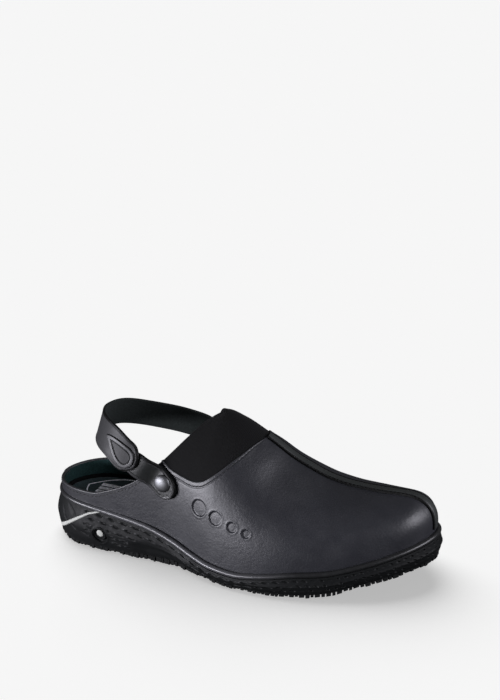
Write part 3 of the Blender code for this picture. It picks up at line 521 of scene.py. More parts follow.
def stand_off(centre, side, half, normal, tree):
    """How far a flat cross-section has to move out to clear the wall under it."""
    most = 0.0
    for j in (-1.0, -0.5, 0.0, 0.5, 1.0):
        start = centre + side * (half * j) + normal * RAY_REACH
        hit, _, _, distance = tree.ray_cast(start, -normal, RAY_REACH + STRAP_WALL)
        if hit is not None:
            most = max(most, RAY_REACH - distance + STRAP_WALL / 2 + LAID_CLEARANCE)
    return most


# Mesh making

PLAN = outline(np.arange(400) / 400)
MIDDLE = np.array([*((PLAN.max(axis=0) + PLAN.min(axis=0)) / 2), 0.0])


def quad_grid(rows, cols, closed):
    """Corner numbers of the quads of a grid of points, row by row."""
    last = cols if closed else cols - 1
    r, c = np.arange(rows - 1)[:, None], np.arange(last)[None, :]
    n = (c + 1) % cols
    here = np.stack([r * cols + c, r * cols + n, (r + 1) * cols + n, (r + 1) * cols + c], axis=-1)
    return here.reshape(-1, 4)


def grid_normals(grid, closed):
    """Unit normals of a grid whose columns run along the foot and whose rows run up."""
    if closed:
        across = np.roll(grid, -1, axis=1) - np.roll(grid, 1, axis=1)
    else:
        across = np.gradient(grid, axis=1)
    normal = np.cross(across, np.gradient(grid, axis=0))
    return normal / np.maximum(np.linalg.norm(normal, axis=-1, keepdims=True), 1e-12)


def make_piece(name, points, faces, look, stands_for=(), slot=None, uv=None, merge=0.0, sharp=50):
    """A mesh that rides on the shoe. uv gives each point its place on the material, in metres."""
    points = np.asarray(points, float).reshape(-1, 3) - MIDDLE
    mesh = bpy.data.meshes.new(name)
    faces = faces.tolist() if isinstance(faces, np.ndarray) else faces
    mesh.from_pydata(points.tolist(), [], faces)
    if uv is not None:
        layer = mesh.uv_layers.new(name="metres")
        corners = np.empty(len(mesh.loops), int)
        mesh.loops.foreach_get("vertex_index", corners)
        layer.data.foreach_set("uv", np.asarray(uv, float).reshape(-1, 2)[corners].ravel())
    made = bpy.data.objects.new(name, mesh)
    bpy.context.scene.collection.objects.link(made)
    mesh.materials.append(look)
    if merge:
        weld = made.modifiers.new("weld", "WELD")
        weld.merge_threshold = merge
    mesh.shade_smooth()
    mesh.set_sharp_from_angle(angle=math.radians(sharp))
    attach(made, "root")
    if stands_for:
        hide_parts(*stands_for)
    return made

def paint(made, looks, kind):
    """Adds further materials to a piece, and gives each face the number of its own."""
    for look in looks:
        made.data.materials.append(look)
    made.data.polygons.foreach_set("material_index", np.asarray(kind, int))


def shell(outer, inner, closed):
    """Points and faces of a wall between two grids."""
    rows, cols = outer.shape[:2]
    count = rows * cols
    quads = quad_grid(rows, cols, closed)
    faces = [quads, quads[:, ::-1] + count]
    ring = np.arange(cols if closed else cols - 1)
    following = (ring + 1) % cols
    faces.append(np.stack([following, ring, ring + count, following + count], axis=1))
    here, ahead = ring + (rows - 1) * cols, following + (rows - 1) * cols
    faces.append(np.stack([here, ahead, ahead + count, here + count], axis=1))
    if not closed:
        r = np.arange(rows - 1) * cols
        faces.append(np.stack([r, r + cols, r + cols + count, r + count], axis=1))
        r = r + cols - 1
        faces.append(np.stack([r + cols, r, r + count, r + cols + count], axis=1))
    return np.concatenate([outer.reshape(-1, 3), inner.reshape(-1, 3)]), np.concatenate(faces)


def lathe(profile, place, axis, segments=64):
    """Points and faces turned from (radius, height) points, whose first and last are on the axis."""
    turned = Vector(axis).to_track_quat("Z", "Y").to_matrix().to_4x4()
    where = Matrix.Translation(Vector(place)) @ turned
    points = [(0, 0, profile[0][1])]
    for radius, height in profile[1:-1]:
        for i in range(segments):
            turn = 2 * math.pi * i / segments
            points.append((radius * math.cos(turn), radius * math.sin(turn), height))
    points.append((0, 0, profile[-1][1]))
    rings = len(profile) - 2
    faces = [(0, 1 + i, 1 + (i + 1) % segments) for i in range(segments)]
    for r in range(rings - 1):
        for i in range(segments):
            n = (i + 1) % segments
            a, b = 1 + r * segments, 1 + (r + 1) * segments
            faces.append((a + i, b + i, b + n, a + n))
    end, last = len(points) - 1, 1 + (rings - 1) * segments
    faces += [(end, last + (i + 1) % segments, last + i) for i in range(segments)]
    return [tuple(where @ Vector(p)) for p in points], faces


def tree_of(obj):
    mesh = obj.data
    places = [v.co + Vector(MIDDLE) for v in mesh.vertices]
    return BVHTree.FromPolygons(places, [tuple(p.vertices) for p in mesh.polygons])


def smooth_step(low, high, x):
    s = np.clip((x - low) / (high - low), 0, 1)
    return s * s * (3 - 2 * s)


def resampled(path, count):
    """Points evenly along a path of points, with any further columns."""
    run = np.concatenate([[0], np.cumsum(np.linalg.norm(np.diff(path[:, :3], axis=0), axis=1))])
    even = np.linspace(0, run[-1], count)
    return np.column_stack([np.interp(even, run, path[:, k]) for k in range(path.shape[1])])


def path_length(path):
    return np.linalg.norm(np.diff(path[:, :3], axis=0), axis=1).sum()

def softened(rows, times):
    """Rows smoothed along their run, with the first and the last left as they are."""
    for _ in range(times):
        rows[1:-1] = (rows[:-2] + 2 * rows[1:-1] + rows[2:]) / 4
    return rows

def seat_on(tree, centre, side, normal, across):
    """The face's point under a place beside a centre line, or else the nearest one."""
    start = Vector(centre) + side * across + normal * RAY_REACH
    return tree.ray_cast(start, -normal)[0] or tree.find_nearest(start)[0]


# Materials

class Look:
    """A procedural material. Every coordinate is the mesh's own, in metres."""

    def __init__(self, name, colour, roughness, metallic=0.0, **sockets):
        self.made = bpy.data.materials.new(name)
        self.made.use_nodes = True
        self.tree = self.made.node_tree
        self.shader = self.tree.nodes["Principled BSDF"]
        self.shader.inputs["Base Color"].default_value = (*colour, 1)
        self.shader.inputs["Roughness"].default_value = roughness
        self.shader.inputs["Metallic"].default_value = metallic
        for socket, value in sockets.items():
            self.shader.inputs[socket.replace("_", " ")].default_value = value
        self.place = self.node("ShaderNodeTexCoord").outputs["Object"]
        self.metres = self.node("ShaderNodeTexCoord").outputs["UV"]
        self.normal = None

    def node(self, kind, **values):
        made = self.tree.nodes.new(kind)
        for key, value in values.items():
            setattr(made, key, value)
        return made

    def link(self, a, b):
        self.tree.links.new(a, b)

    def noise(self, scale, detail):
        made = self.node("ShaderNodeTexNoise")
        made.inputs["Scale"].default_value = scale
        made.inputs["Detail"].default_value = detail
        made.inputs["Roughness"].default_value = 0.55
        self.link(self.place, made.inputs["Vector"])
        return made.outputs["Fac"]

    def cells(self, scale, feature="DISTANCE_TO_EDGE"):
        made = self.node("ShaderNodeTexVoronoi", feature=feature)
        made.inputs["Scale"].default_value = scale
        self.link(self.place, made.inputs["Vector"])
        return made.outputs["Distance"]

    def waves(self, scale, direction):
        made = self.node("ShaderNodeTexWave", bands_direction=direction, wave_profile="SIN")
        made.inputs["Scale"].default_value = scale
        self.link(self.metres, made.inputs["Vector"])
        return made.outputs["Fac"]

    def ramp(self, source, low, high, first, second):
        made = self.node("ShaderNodeMapRange")
        self.link(source, made.inputs["Value"])
        for socket, value in zip(("From Min", "From Max", "To Min", "To Max"), (low, high, first, second)):
            made.inputs[socket].default_value = value
        return made.outputs["Result"]

    def bump(self, height, strength, distance):
        made = self.node("ShaderNodeBump")
        made.inputs["Strength"].default_value = strength
        made.inputs["Distance"].default_value = distance
        self.link(height, made.inputs["Height"])
        if self.normal is not None:
            self.link(self.normal, made.inputs["Normal"])
        self.normal = made.outputs["Normal"]
        self.link(self.normal, self.shader.inputs["Normal"])

    def tint(self, source, low, high, dark, light):
        """Colour from dark to light as the source goes from low to high."""
        made = self.node("ShaderNodeMix", data_type="RGBA")
        self.link(self.ramp(source, low, high, 0, 1), made.inputs["Factor"])
        made.inputs["A"].default_value = (*dark, 1)
        made.inputs["B"].default_value = (*light, 1)
        self.link(made.outputs["Result"], self.shader.inputs["Base Color"])

    def uneven(self, source, low, high, first, second):
        """Roughness between two values as the source changes."""
        self.link(self.ramp(source, low, high, first, second), self.shader.inputs["Roughness"])


def shade(colour, by):
    return tuple(c * by for c in colour)


def leather_look(name, colour, roughness, grain=1.0, coat=0.12):
    made = Look(name, colour, roughness, Coat_Weight=coat, Coat_Roughness=0.36, Specular_IOR_Level=0.52)
    broad = made.noise(28, 4)
    made.tint(broad, 0.3, 0.7, shade(colour, 0.88), shade(colour, 1.12))
    made.uneven(made.noise(90, 3), 0.3, 0.7, roughness - 0.05, roughness + 0.06)
    made.bump(made.noise(160, 2), 0.25, 0.0006)
    made.bump(made.noise(620, 3), 0.45 * grain, 0.00034)
    made.bump(made.cells(1150), 0.36 * grain, 0.00018)
    made.bump(made.noise(3200, 2), 0.25 * grain, 0.00008)
    return made.made


def moulded_look(name, colour, roughness, fine=1.0):
    made = Look(name, colour, roughness, Specular_IOR_Level=0.13)
    made.tint(made.noise(40, 4), 0.3, 0.7, shade(colour, 0.85), shade(colour, 1.15))
    made.uneven(made.noise(300, 3), 0.3, 0.7, roughness - 0.07, roughness + 0.07)
    made.bump(made.noise(1500, 3), 0.35 * fine, 0.00012)
    made.bump(made.noise(220, 2), 0.2 * fine, 0.0004)
    return made.made


def ribbed_look(name, colour, pitch):
    """Woven elastic: fine cords along the piece with a cross weave."""
    made = Look(name, colour, 0.88, Sheen_Weight=0.03, Sheen_Roughness=0.5, Specular_IOR_Level=0.18)
    turn = 2 * math.pi / 20
    ribs = made.waves(turn / pitch, "Y")
    cross = made.waves(turn / (0.7 * pitch), "X")
    made.tint(ribs, 0.1, 0.9, shade(colour, 0.8), shade(colour, 1.15))
    made.bump(ribs, 0.5, 0.00022)
    made.bump(cross, 0.35, 0.00012)
    made.bump(made.noise(2500, 2), 0.3, 0.0001)
    return made.made


def lining_look(name, colour):
    """Short-napped knit lining."""
    made = Look(name, colour, 0.92, Sheen_Weight=0.05, Sheen_Roughness=0.4, Specular_IOR_Level=0.2)
    made.tint(made.noise(900, 3), 0.3, 0.7, shade(colour, 0.7), shade(colour, 1.3))
    made.bump(made.cells(1500, "F1"), 0.5, 0.00022)
    made.bump(made.noise(60, 3), 0.2, 0.0006)
    return made.made


def bead_look(name, heel, toe):
    """Rim of the sole, with a painted highlight that makes it lighter behind the arch than towards the toe.
    """
    made = Look(name, heel, 0.36, Specular_IOR_Level=0.5)
    parts = made.node("ShaderNodeSeparateXYZ")
    made.link(made.place, parts.inputs["Vector"])
    # Painted highlight: the rim's colour goes from the dark toe colour to the lighter heel colour behind the
    # arch.
    painted_highlight = made.node("ShaderNodeMath", operation="MULTIPLY")
    made.link(made.ramp(parts.outputs["X"], -0.128, -0.090, 0.15, 1), painted_highlight.inputs[0])
    made.link(made.ramp(parts.outputs["X"], -0.01, 0.06, 1, 0), painted_highlight.inputs[1])
    made.tint(painted_highlight.outputs["Value"], 0, 1, toe, heel)
    made.uneven(made.noise(300, 3), 0.3, 0.7, 0.30, 0.42)
    made.bump(made.noise(1500, 3), 0.3, 0.0001)
    return made.made


def metal_look(name, colour):
    made = Look(name, colour, 0.48, 1.0, Specular_IOR_Level=0.5)
    made.uneven(made.noise(700, 4), 0.3, 0.7, 0.44, 0.53)
    made.bump(made.noise(2600, 2), 0.12, 0.00005)
    made.tint(made.noise(300, 3), 0.3, 0.7, shade(colour, 0.92), shade(colour, 1.08))
    return made.made


def thread_look(name, colour):
    made = Look(name, colour, 0.7, Sheen_Weight=0.2, Specular_IOR_Level=0.35)
    made.tint(made.noise(1500, 2), 0.3, 0.7, shade(colour, 0.75), shade(colour, 1.2))
    made.bump(made.noise(3500, 2), 0.5, 0.0001)
    return made.made


LEATHER = leather_look("leather", (0.0135, 0.0142, 0.0182), 0.47)
EDGE = leather_look("leather_edge", (0.030, 0.031, 0.034), 0.50, 0.5)
TAPE = leather_look("tape_leather", (0.0180, 0.0205, 0.0200), 0.52, 0.7)
STRAP = leather_look("strap_leather", (0.0100, 0.0105, 0.0120), 0.72, 0.6)
STRAP_RIM = leather_look("strap_rim", (0.026, 0.027, 0.029), 0.52, 0.5)
SIDE = moulded_look("moulded_sole", (0.0060, 0.0066, 0.0068), 0.56)
# The bead's heel colour is a painted highlight, lighter than its toe colour.
BEAD = bead_look("sole_bead", (0.070, 0.071, 0.076), (0.011, 0.0115, 0.012))
# Lighter material on the raised lips of the sole's pits, as a painted highlight.
PAINTED_LIP_HIGHLIGHT = moulded_look("painted_lip_highlight", (0.040, 0.042, 0.043), 0.50)
# Dark material for the strap's edges, and painted shade in the tape's edge grooves and on the drop's groove
# and outline.
DARK_EDGE_AND_PAINTED_SHADE = moulded_look("dark_edge_and_painted_shade", (0.0050, 0.0052, 0.0052), 0.45, 0.5)
SNAP_FIELD = leather_look("snap_field", (0.0085, 0.0098, 0.0095), 0.48, 0.8)
TREAD = moulded_look("tread_rubber", (0.0085, 0.0090, 0.0090), 0.62)
GORE = ribbed_look("elastic", (0.0030, 0.0030, 0.0032), 0.0009)
LINING = lining_look("lining", (0.0170, 0.0440, 0.0430))
FOOTBED = lining_look("footbed", (0.0420, 0.0620, 0.0660))
STRAP_BACK = lining_look("strap_back", (0.0105, 0.0135, 0.0128))
STEEL = metal_look("dark_steel", (0.155, 0.158, 0.164))
PALE = moulded_look("pale_plastic", (0.42, 0.43, 0.40), 0.45, 0.5)
DARK_THREAD = thread_look("dark_thread", (0.006, 0.006, 0.006))
PRINT = lining_look("print", (0.90, 0.90, 0.96))


# Leather upper

LEATHER_WALL = 1.4 * MM
LINING_FACE = 1.45 * MM
LINING_STEP = 3 * MM
# Flat areas of the two stretched sheets in square metres. They were measured on these modelled
# surfaces, less an assumed stretch of 3 per cent for the lining and 6 per cent for the panel, so
# that they agree with the model is no proof of the true cut.
DISC_SOFT = 0.40 * MM
DISC_SUNK = 0.95 * MM


def length_stations(stops):
    """Shares of the length through (share, step) stops, with the step of each stretch in metres."""
    rows = []
    for (first, step), (last, _) in zip(stops, stops[1:]):
        a, b = t_at(first, OUTER), t_at(last, OUTER)
        count = max(1, round((b - a) * 2 * HALF_ROUND / step))
        rows.append(along_of(np.linspace(a, b, count, endpoint=False)))
    return np.concatenate([*rows, [stops[-1][0]]])


HALF_ROUND = path_length(np.column_stack([outline(OUTER_T), np.zeros(len(OUTER_T))]))
FRONT_STOPS = ((SEAM_ALONG, 0.7 * MM), (0.605, 1.7 * MM), (1.0, 1.7 * MM))
OUTER_STOPS = (
    (0.0, 1.7 * MM), (CORNER_ALONG, 1.2 * MM), (0.42, 0.55 * MM), (THROAT_ALONG, 0.55 * MM), *FRONT_STOPS)
INNER_STOPS = ((0.0, 1.7 * MM), (CORNER_ALONG, 1.7 * MM), (THROAT_ALONG, 1.7 * MM), *FRONT_STOPS)


def wall_grid(t, angles):
    """Wall points for a row of t and a grid of angles."""
    flat = wall(np.broadcast_to(t, angles.shape).ravel(), angles.ravel())
    return flat.reshape(*angles.shape, 3)


def leather_rows(top):
    """Angles from the sole to the top edge, closest together where the discs are."""
    turn = math.radians(31)
    knee = np.minimum(turn, 0.85 * top)
    low = np.concatenate([np.linspace(0, 0.38, 13), np.linspace(0.38, 1, 52)[1:]])
    high = np.linspace(0, 1, 62)[1:]
    return np.vstack([low[:, None] * knee, knee + high[:, None] * (top - knee)])


# Soft troughs and swells of the leather, as (share of the length, share of INSTEP_HEIGHT,
# side, reach along, reach up, depth). A negative depth swells.
HOLLOWS = (
    (0.640, 0.560, OUTER, 30 * MM, 11 * MM, 0.55 * MM),
    (0.690, 0.450, OUTER, 26 * MM, 8 * MM, 0.35 * MM),
    (0.600, 0.760, OUTER, 12 * MM, 7 * MM, -0.50 * MM),
    (0.615, 0.640, OUTER, 9 * MM, 14 * MM, 0.40 * MM),
    (0.520, 0.560, OUTER, 9 * MM, 16 * MM, 0.35 * MM),
    (0.800, 0.330, OUTER, 24 * MM, 8 * MM, 0.35 * MM),
    (0.640, 0.540, INNER, 28 * MM, 10 * MM, 0.45 * MM),
    (0.700, 0.400, INNER, 26 * MM, 8 * MM, 0.30 * MM),
    (0.560, 0.640, INNER, 9 * MM, 16 * MM, 0.35 * MM),
    (0.780, 0.330, INNER, 22 * MM, 8 * MM, 0.30 * MM),
    (0.110, 0.300, OUTER, 20 * MM, 6 * MM, 0.25 * MM),
    (0.130, 0.300, INNER, 20 * MM, 6 * MM, 0.25 * MM),
)
# Crown over the toe: share of the length, share of the instep's height, reach, rise.
TOE_CROWN = (0.945, 0.460, 12 * MM, 1.8 * MM)


def leather_relief(place, angle, top, along):
    """How far the leather lies below its plain surface."""
    depth = np.zeros(place.shape[:2])
    for share, height, radius in DISCS:
        centre, _ = wall_seat(share, height * INSTEP_HEIGHT, OUTER)
        away = np.linalg.norm(place - centre, axis=-1)
        depth += DISC_SUNK * (1 - smooth_step(radius - DISC_SOFT, radius + DISC_SOFT * 0.3, away))
        depth -= 0.13 * MM * np.exp(-(((away - radius - 0.7 * MM) / (0.7 * MM)) ** 2))
        depth -= 0.16 * MM * (away < radius) * np.maximum(1 - (away / radius) ** 2, 0)
    for share, height, side, reach, rise_reach, deep in HOLLOWS:
        centre, normal = wall_seat(share, height * INSTEP_HEIGHT, side)
        offset = place - centre
        ahead = offset[..., 0] / reach
        up = offset[..., 2] / rise_reach
        near = np.exp(-(ahead**2 + up**2)) * (np.sign(offset @ normal + 0.02) > 0)
        depth += deep * near
    share, height, reach, rise = TOE_CROWN
    offset = (place - wall_seat(share, height * INSTEP_HEIGHT, OUTER)[0]) / reach
    depth -= rise * np.exp(-(offset[..., 0] ** 2 + offset[..., 2] ** 2))
    edge = np.maximum(top - angle, 0) * 0.06
    in_rim = (along < SEAM_ALONG - 0.002)[None, :]
    groove = np.exp(-(((edge - 2.4 * MM) / (0.55 * MM)) ** 2))
    depth += np.where(in_rim & (along > CORNER_ALONG)[None, :], 0.30 * MM * groove, 0)
    return depth


def upper_columns(outer_stops, inner_stops):
    outer, inner = length_stations(outer_stops), length_stations(inner_stops)
    t = np.concatenate([t_at(outer, OUTER), t_at(inner_along(inner), INNER)[-2:0:-1]])
    return t, len(outer)


def same_on_ridge(normals, outer_count):
    """The two sides share their normals in the top row in front of the panel."""
    cols = normals.shape[1]
    i = outer_count - 2
    j = outer_count
    while j < cols and i > 0:
        both = normals[-1, i] + normals[-1, j]
        both /= max(np.linalg.norm(both), 1e-9)
        normals[-1, i] = normals[-1, j] = both
        i, j = i - 1, j + 1
        if along_of(np.array([LEATHER_T[i]]))[0] < SEAM_ALONG - 1e-6:
            break


LEATHER_T, OUTER_COUNT = upper_columns(OUTER_STOPS, INNER_STOPS)


def make_leather():
    t = LEATHER_T
    top = edge_angle(t, PANEL)
    angles = leather_rows(top)
    plain = wall_grid(t, angles)
    normals = grid_normals(plain, closed=True)
    same_on_ridge(normals, OUTER_COUNT)
    along = table_along(t)
    grid = plain - normals * leather_relief(plain, angles, top, along)[..., None]
    rim = np.nonzero(along < SEAM_ALONG - 1e-6)[0]
    rim = np.concatenate([rim[rim >= OUTER_COUNT], rim[rim < OUTER_COUNT]])
    edge, below = grid[-1, rim], grid[-3, rim]
    up = edge - below
    up /= np.linalg.norm(up, axis=1)[:, None]
    out = normals[-2, rim]
    r = LEATHER_WALL / 2
    turns = np.radians([0, 30, 60, 90, 120, 150, 180])
    rolled = np.stack([edge + up * (r * math.sin(a)) - out * (r * (1 - math.cos(a))) for a in turns])
    hem = rolled[-1] - up * 2.5 * MM
    rolled = np.concatenate([rolled, hem[None]])
    count = grid.shape[0] * grid.shape[1]
    faces = quad_grid(*grid.shape[:2], True)
    strip = quad_grid(*rolled.shape[:2], False) + count
    points = np.concatenate([grid.reshape(-1, 3), rolled.reshape(-1, 3)])
    faces = np.concatenate([faces, strip])
    made = make_piece("leather_upper", points, faces, LEATHER, ("upper",), "upper", merge=0.03 * MM)
    paint(made, (EDGE,), np.arange(len(faces)) >= len(faces) - len(strip))
    return made


def make_lining():
    """Lining between the leather and the foot, with a wall of its own."""
    stops = tuple((share, LINING_STEP) for share in (0.0, CORNER_ALONG, THROAT_ALONG, SEAM_ALONG, 1.0))
    t, _ = upper_columns(stops, stops)
    top = edge_angle(t, PANEL)
    top = np.where(top < math.pi / 2 - 1e-6, top - 0.004, top)
    angles = np.linspace(0, 1, 52)[:, None] * top
    plain = wall_grid(t, angles)
    normals = grid_normals(plain, closed=True)
    points, faces = shell(plain - normals * LINING_FACE, plain - normals * UPPER_WALL, closed=True)
    lining = make_piece("upper_lining", points, faces, LINING, slot="upper")


# Elastic panel

def make_gore():
    """The elastic panel, tucked under the leather all along its lower edge, with a folded top hem."""
    middle = np.concatenate([
        np.linspace(CORNER_ALONG - 0.004, THROAT_ALONG - 0.02, 60),
        np.linspace(THROAT_ALONG - 0.02, THROAT_ALONG, 24)[1:],
        np.linspace(THROAT_ALONG, SEAM_ALONG - 0.001, 80)[1:],
    ])
    sides = []
    for side in (OUTER, INNER):
        t = t_at(middle if side == OUTER else inner_along(middle), side)
        low = edge_angle(t, PANEL)
        high = np.maximum(edge_angle(t, THROAT), low + 0.012)
        rows = np.concatenate([low - 0.035 * (1 - np.linspace(0, 1, 5)[:-1])[:, None],
                               low + np.linspace(0, 1, 56)[:, None] * (high - low)])
        rows = np.minimum(rows, math.pi / 2)
        sunk = np.concatenate([np.linspace(1.6, 1.1, 5)[:-1], np.full(56, 1.0)]) * MM
        sunk[4:8] = (1.08, 1.04, 1.01, 1.0) * np.array(MM)
        sides.append((t, rows, wall_grid(t, rows), sunk))
    normals = []
    for k, (t, rows, grid, sunk) in enumerate(sides):
        normal = grid_normals(grid, closed=False)
        normals.append(normal if k == 0 else -normal)
    ridge = middle >= THROAT_ALONG - 1e-6
    both = normals[0][-1] + normals[1][-1]
    both /= np.linalg.norm(both, axis=1)[:, None]
    for normal in normals:
        normal[-1][ridge] = both[ridge]
    points, faces, uv = [], [], []
    base = 0
    for k, ((t, rows, grid, sunk), normal) in enumerate(zip(sides, normals)):
        outer = grid - normal * sunk[:, None, None]
        inner = grid - normal * (sunk[:, None, None] + 0.9 * MM)
        p, f = shell(outer, inner, closed=False)
        if k == 1:
            f = f[:, ::-1]
        steps = np.linalg.norm(np.diff(grid, axis=0), axis=2)
        run = np.concatenate([np.zeros((1, grid.shape[1])), np.cumsum(steps, axis=0)])
        run = run - run[-1]
        u = np.broadcast_to(middle * SOLE_LENGTH, run.shape)
        uv.append(np.concatenate([np.stack([run, u], -1).reshape(-1, 2)] * 2))
        points.append(p)
        faces.append(f + base)
        base += len(p)
    made = make_piece("elastic_panel", np.concatenate(points), np.concatenate(faces), GORE, ("instep_panel",),
                      "instep_panel", uv=np.concatenate(uv), merge=0.03 * MM)
    hems = []
    for k, (t, rows, grid, sunk) in enumerate(sides):
        keep = middle <= THROAT_ALONG + 1e-6
        edge = grid[-1][keep] - normals[k][-2][keep] * 1.50 * MM
        hems.append(edge)
    path = np.concatenate([hems[0], hems[1][-2::-1]])
    return path


def sweep(path, frames, profile):
    """Points and faces of a profile carried along a path. frames gives each point's two directions."""
    first, second = frames
    profile = np.asarray(profile)
    rings = path[:, None, :] + first[:, None, :] * profile[None, :, 0, None]
    rings = rings + second[:, None, :] * profile[None, :, 1, None]
    rows, cols = rings.shape[:2]
    faces = quad_grid(rows, cols, True).tolist()
    faces.append(tuple(range(cols - 1, -1, -1)))
    faces.append(tuple(range((rows - 1) * cols, rows * cols)))
    return rings.reshape(-1, 3), faces

def round_profile(radius, count=10):
    turns = np.arange(count) * 2 * math.pi / count
    return np.column_stack([np.cos(turns), np.sin(turns)]) * radius


def frames_along(path, up):
    """Two unit directions across a path, the first nearest to up."""
    tangent = np.gradient(path, axis=0)
    tangent /= np.maximum(np.linalg.norm(tangent, axis=1), 1e-12)[:, None]
    side = np.cross(tangent, up)
    side /= np.maximum(np.linalg.norm(side, axis=1), 1e-12)[:, None]
    return np.cross(side, tangent), side


def add_hem(path):
    path = resampled(path, 220)
    up = np.tile((0.0, 0.0, 1.0), (len(path), 1))
    points, faces = sweep(path, frames_along(path, up), round_profile(0.62 * MM, 12))
    along = np.repeat(np.linspace(0, 0.16, len(path)), 12)
    about = np.tile(np.linspace(0, 0.005, 12), len(path))
    make_piece("panel_hem", points, faces, GORE, slot="instep_panel", uv=np.column_stack([along, about]))


# Stitching

def add_stitches(name, path, normals, look, slot, length=2.1 * MM, gap=1.0 * MM, radius=0.26 * MM):
    """Separate threads lying along a path on a surface."""
    total = path_length(path)
    count = int(total / (length + gap))
    both = resampled(np.column_stack([path, normals]), 8 * count)
    run = np.linspace(0, total, len(both))
    points, faces = [], []
    stops = np.array([-1.0, -0.82, -0.4, 0.0, 0.4, 0.82, 1.0])
    fat = np.array([0.12, 0.7, 1.0, 1.0, 1.0, 0.7, 0.12])
    sides = 6
    for k in range(count):
        middle = (k + 0.5) * total / count
        at = middle + stops * length / 2
        place = np.column_stack([np.interp(at, run, both[:, j]) for j in range(3)])
        normal = np.column_stack([np.interp(at, run, both[:, j]) for j in range(3, 6)])
        normal /= np.linalg.norm(normal, axis=1)[:, None]
        tangent = place[-1] - place[0]
        tangent /= max(np.linalg.norm(tangent), 1e-12)
        side = np.cross(tangent, normal)
        place = place + normal * (0.02 * MM + radius * 0.45 * (fat[:, None] - 0.6))
        base = len(points)
        for p, n, s, w in zip(place, normal, side, fat):
            for a in range(sides):
                turn = 2 * math.pi * a / sides
                points.append(p + (n * math.cos(turn) + s * math.sin(turn)) * radius * w)
        faces += (quad_grid(len(stops), sides, True) + base).tolist()
        faces.append(tuple(base + a for a in range(sides - 1, -1, -1)))
        faces.append(tuple(base + (len(stops) - 1) * sides + a for a in range(sides)))
    make_piece(name, points, faces, look, slot=slot)


def path_on_wall(t, angle, sunk=0.0):
    """Points and normals along a line on the wall."""
    step = 0.002
    place = wall(t, angle)
    across = wall(t + 0.0008, angle) - wall(t - 0.0008, angle)
    up = wall(t, angle + step) - wall(t, angle - step)
    normal = np.cross(across, up)
    normal /= np.linalg.norm(normal, axis=1)[:, None]
    return place - normal * sunk, normal


def round_heel(short, count):
    """t from the panel's inner corner round the heel to its outer one, this much short of both."""
    inner = t_at(np.linspace(CORNER_ALONG_INNER - short, 0, count), INNER)
    outer = t_at(np.linspace(0, CORNER_ALONG - short, count), OUTER)[1:]
    return np.mod(np.concatenate([inner, outer + 1.0]), 1.0)

def below_edge(t, down, sunk):
    """Points and normals along a line this far below the leather's top edge."""
    angle = edge_angle(t, PANEL)
    per = np.linalg.norm(wall(t, angle) - wall(t, angle - 0.01), axis=1) / 0.01
    return path_on_wall(t, angle - down / per, sunk)

def add_rim_stitches():
    for side in (OUTER, INNER):
        along = np.linspace(CORNER_ALONG + 0.004, SEAM_ALONG - 0.004, 300)
        t = t_at(along if side == OUTER else inner_along(along), side)
        place, normal = below_edge(t, 2.3 * MM, 0.25 * MM)
        add_stitches("panel_stitches_" + side, place, normal, DARK_THREAD, "upper", radius=0.30 * MM)
    place, normal = below_edge(round_heel(0.005, 200), 2.2 * MM, -0.02 * MM)
    add_stitches("collar_stitches", place, normal, DARK_THREAD, "upper", radius=0.34 * MM, length=2.3 * MM)

def add_binding():
    """Turned binding over the collar's edge, from one corner of the panel round the heel to the other."""
    t = round_heel(0.0, 260)
    angle = edge_angle(t, PANEL)
    place, normal = path_on_wall(t, angle)
    up = wall(t, angle) - wall(t, angle - 0.01)
    up /= np.linalg.norm(up, axis=1)[:, None]
    profile = np.array([
        (0.06, -0.70), (0.20, -0.55), (0.24, -0.1), (0.15, 0.30), (-0.20, 0.55), (-0.8, 0.65), (-1.5, 0.50),
        (-1.95, 0.1), (-2.1, -0.5), (-2.2, -2.2), (-2.0, -2.3), (-1.2, -0.9), (-0.4, -0.9),
    ]) * MM
    path = np.column_stack([place, normal, up])
    path = resampled(path, 420)
    points, faces = sweep(path[:, :3], (path[:, 3:6], path[:, 6:9]), profile)
    make_piece("collar_binding", points, faces, EDGE, slot="upper", sharp=60)


# Centre tape

TAPE_STITCHES = 3.15 * MM


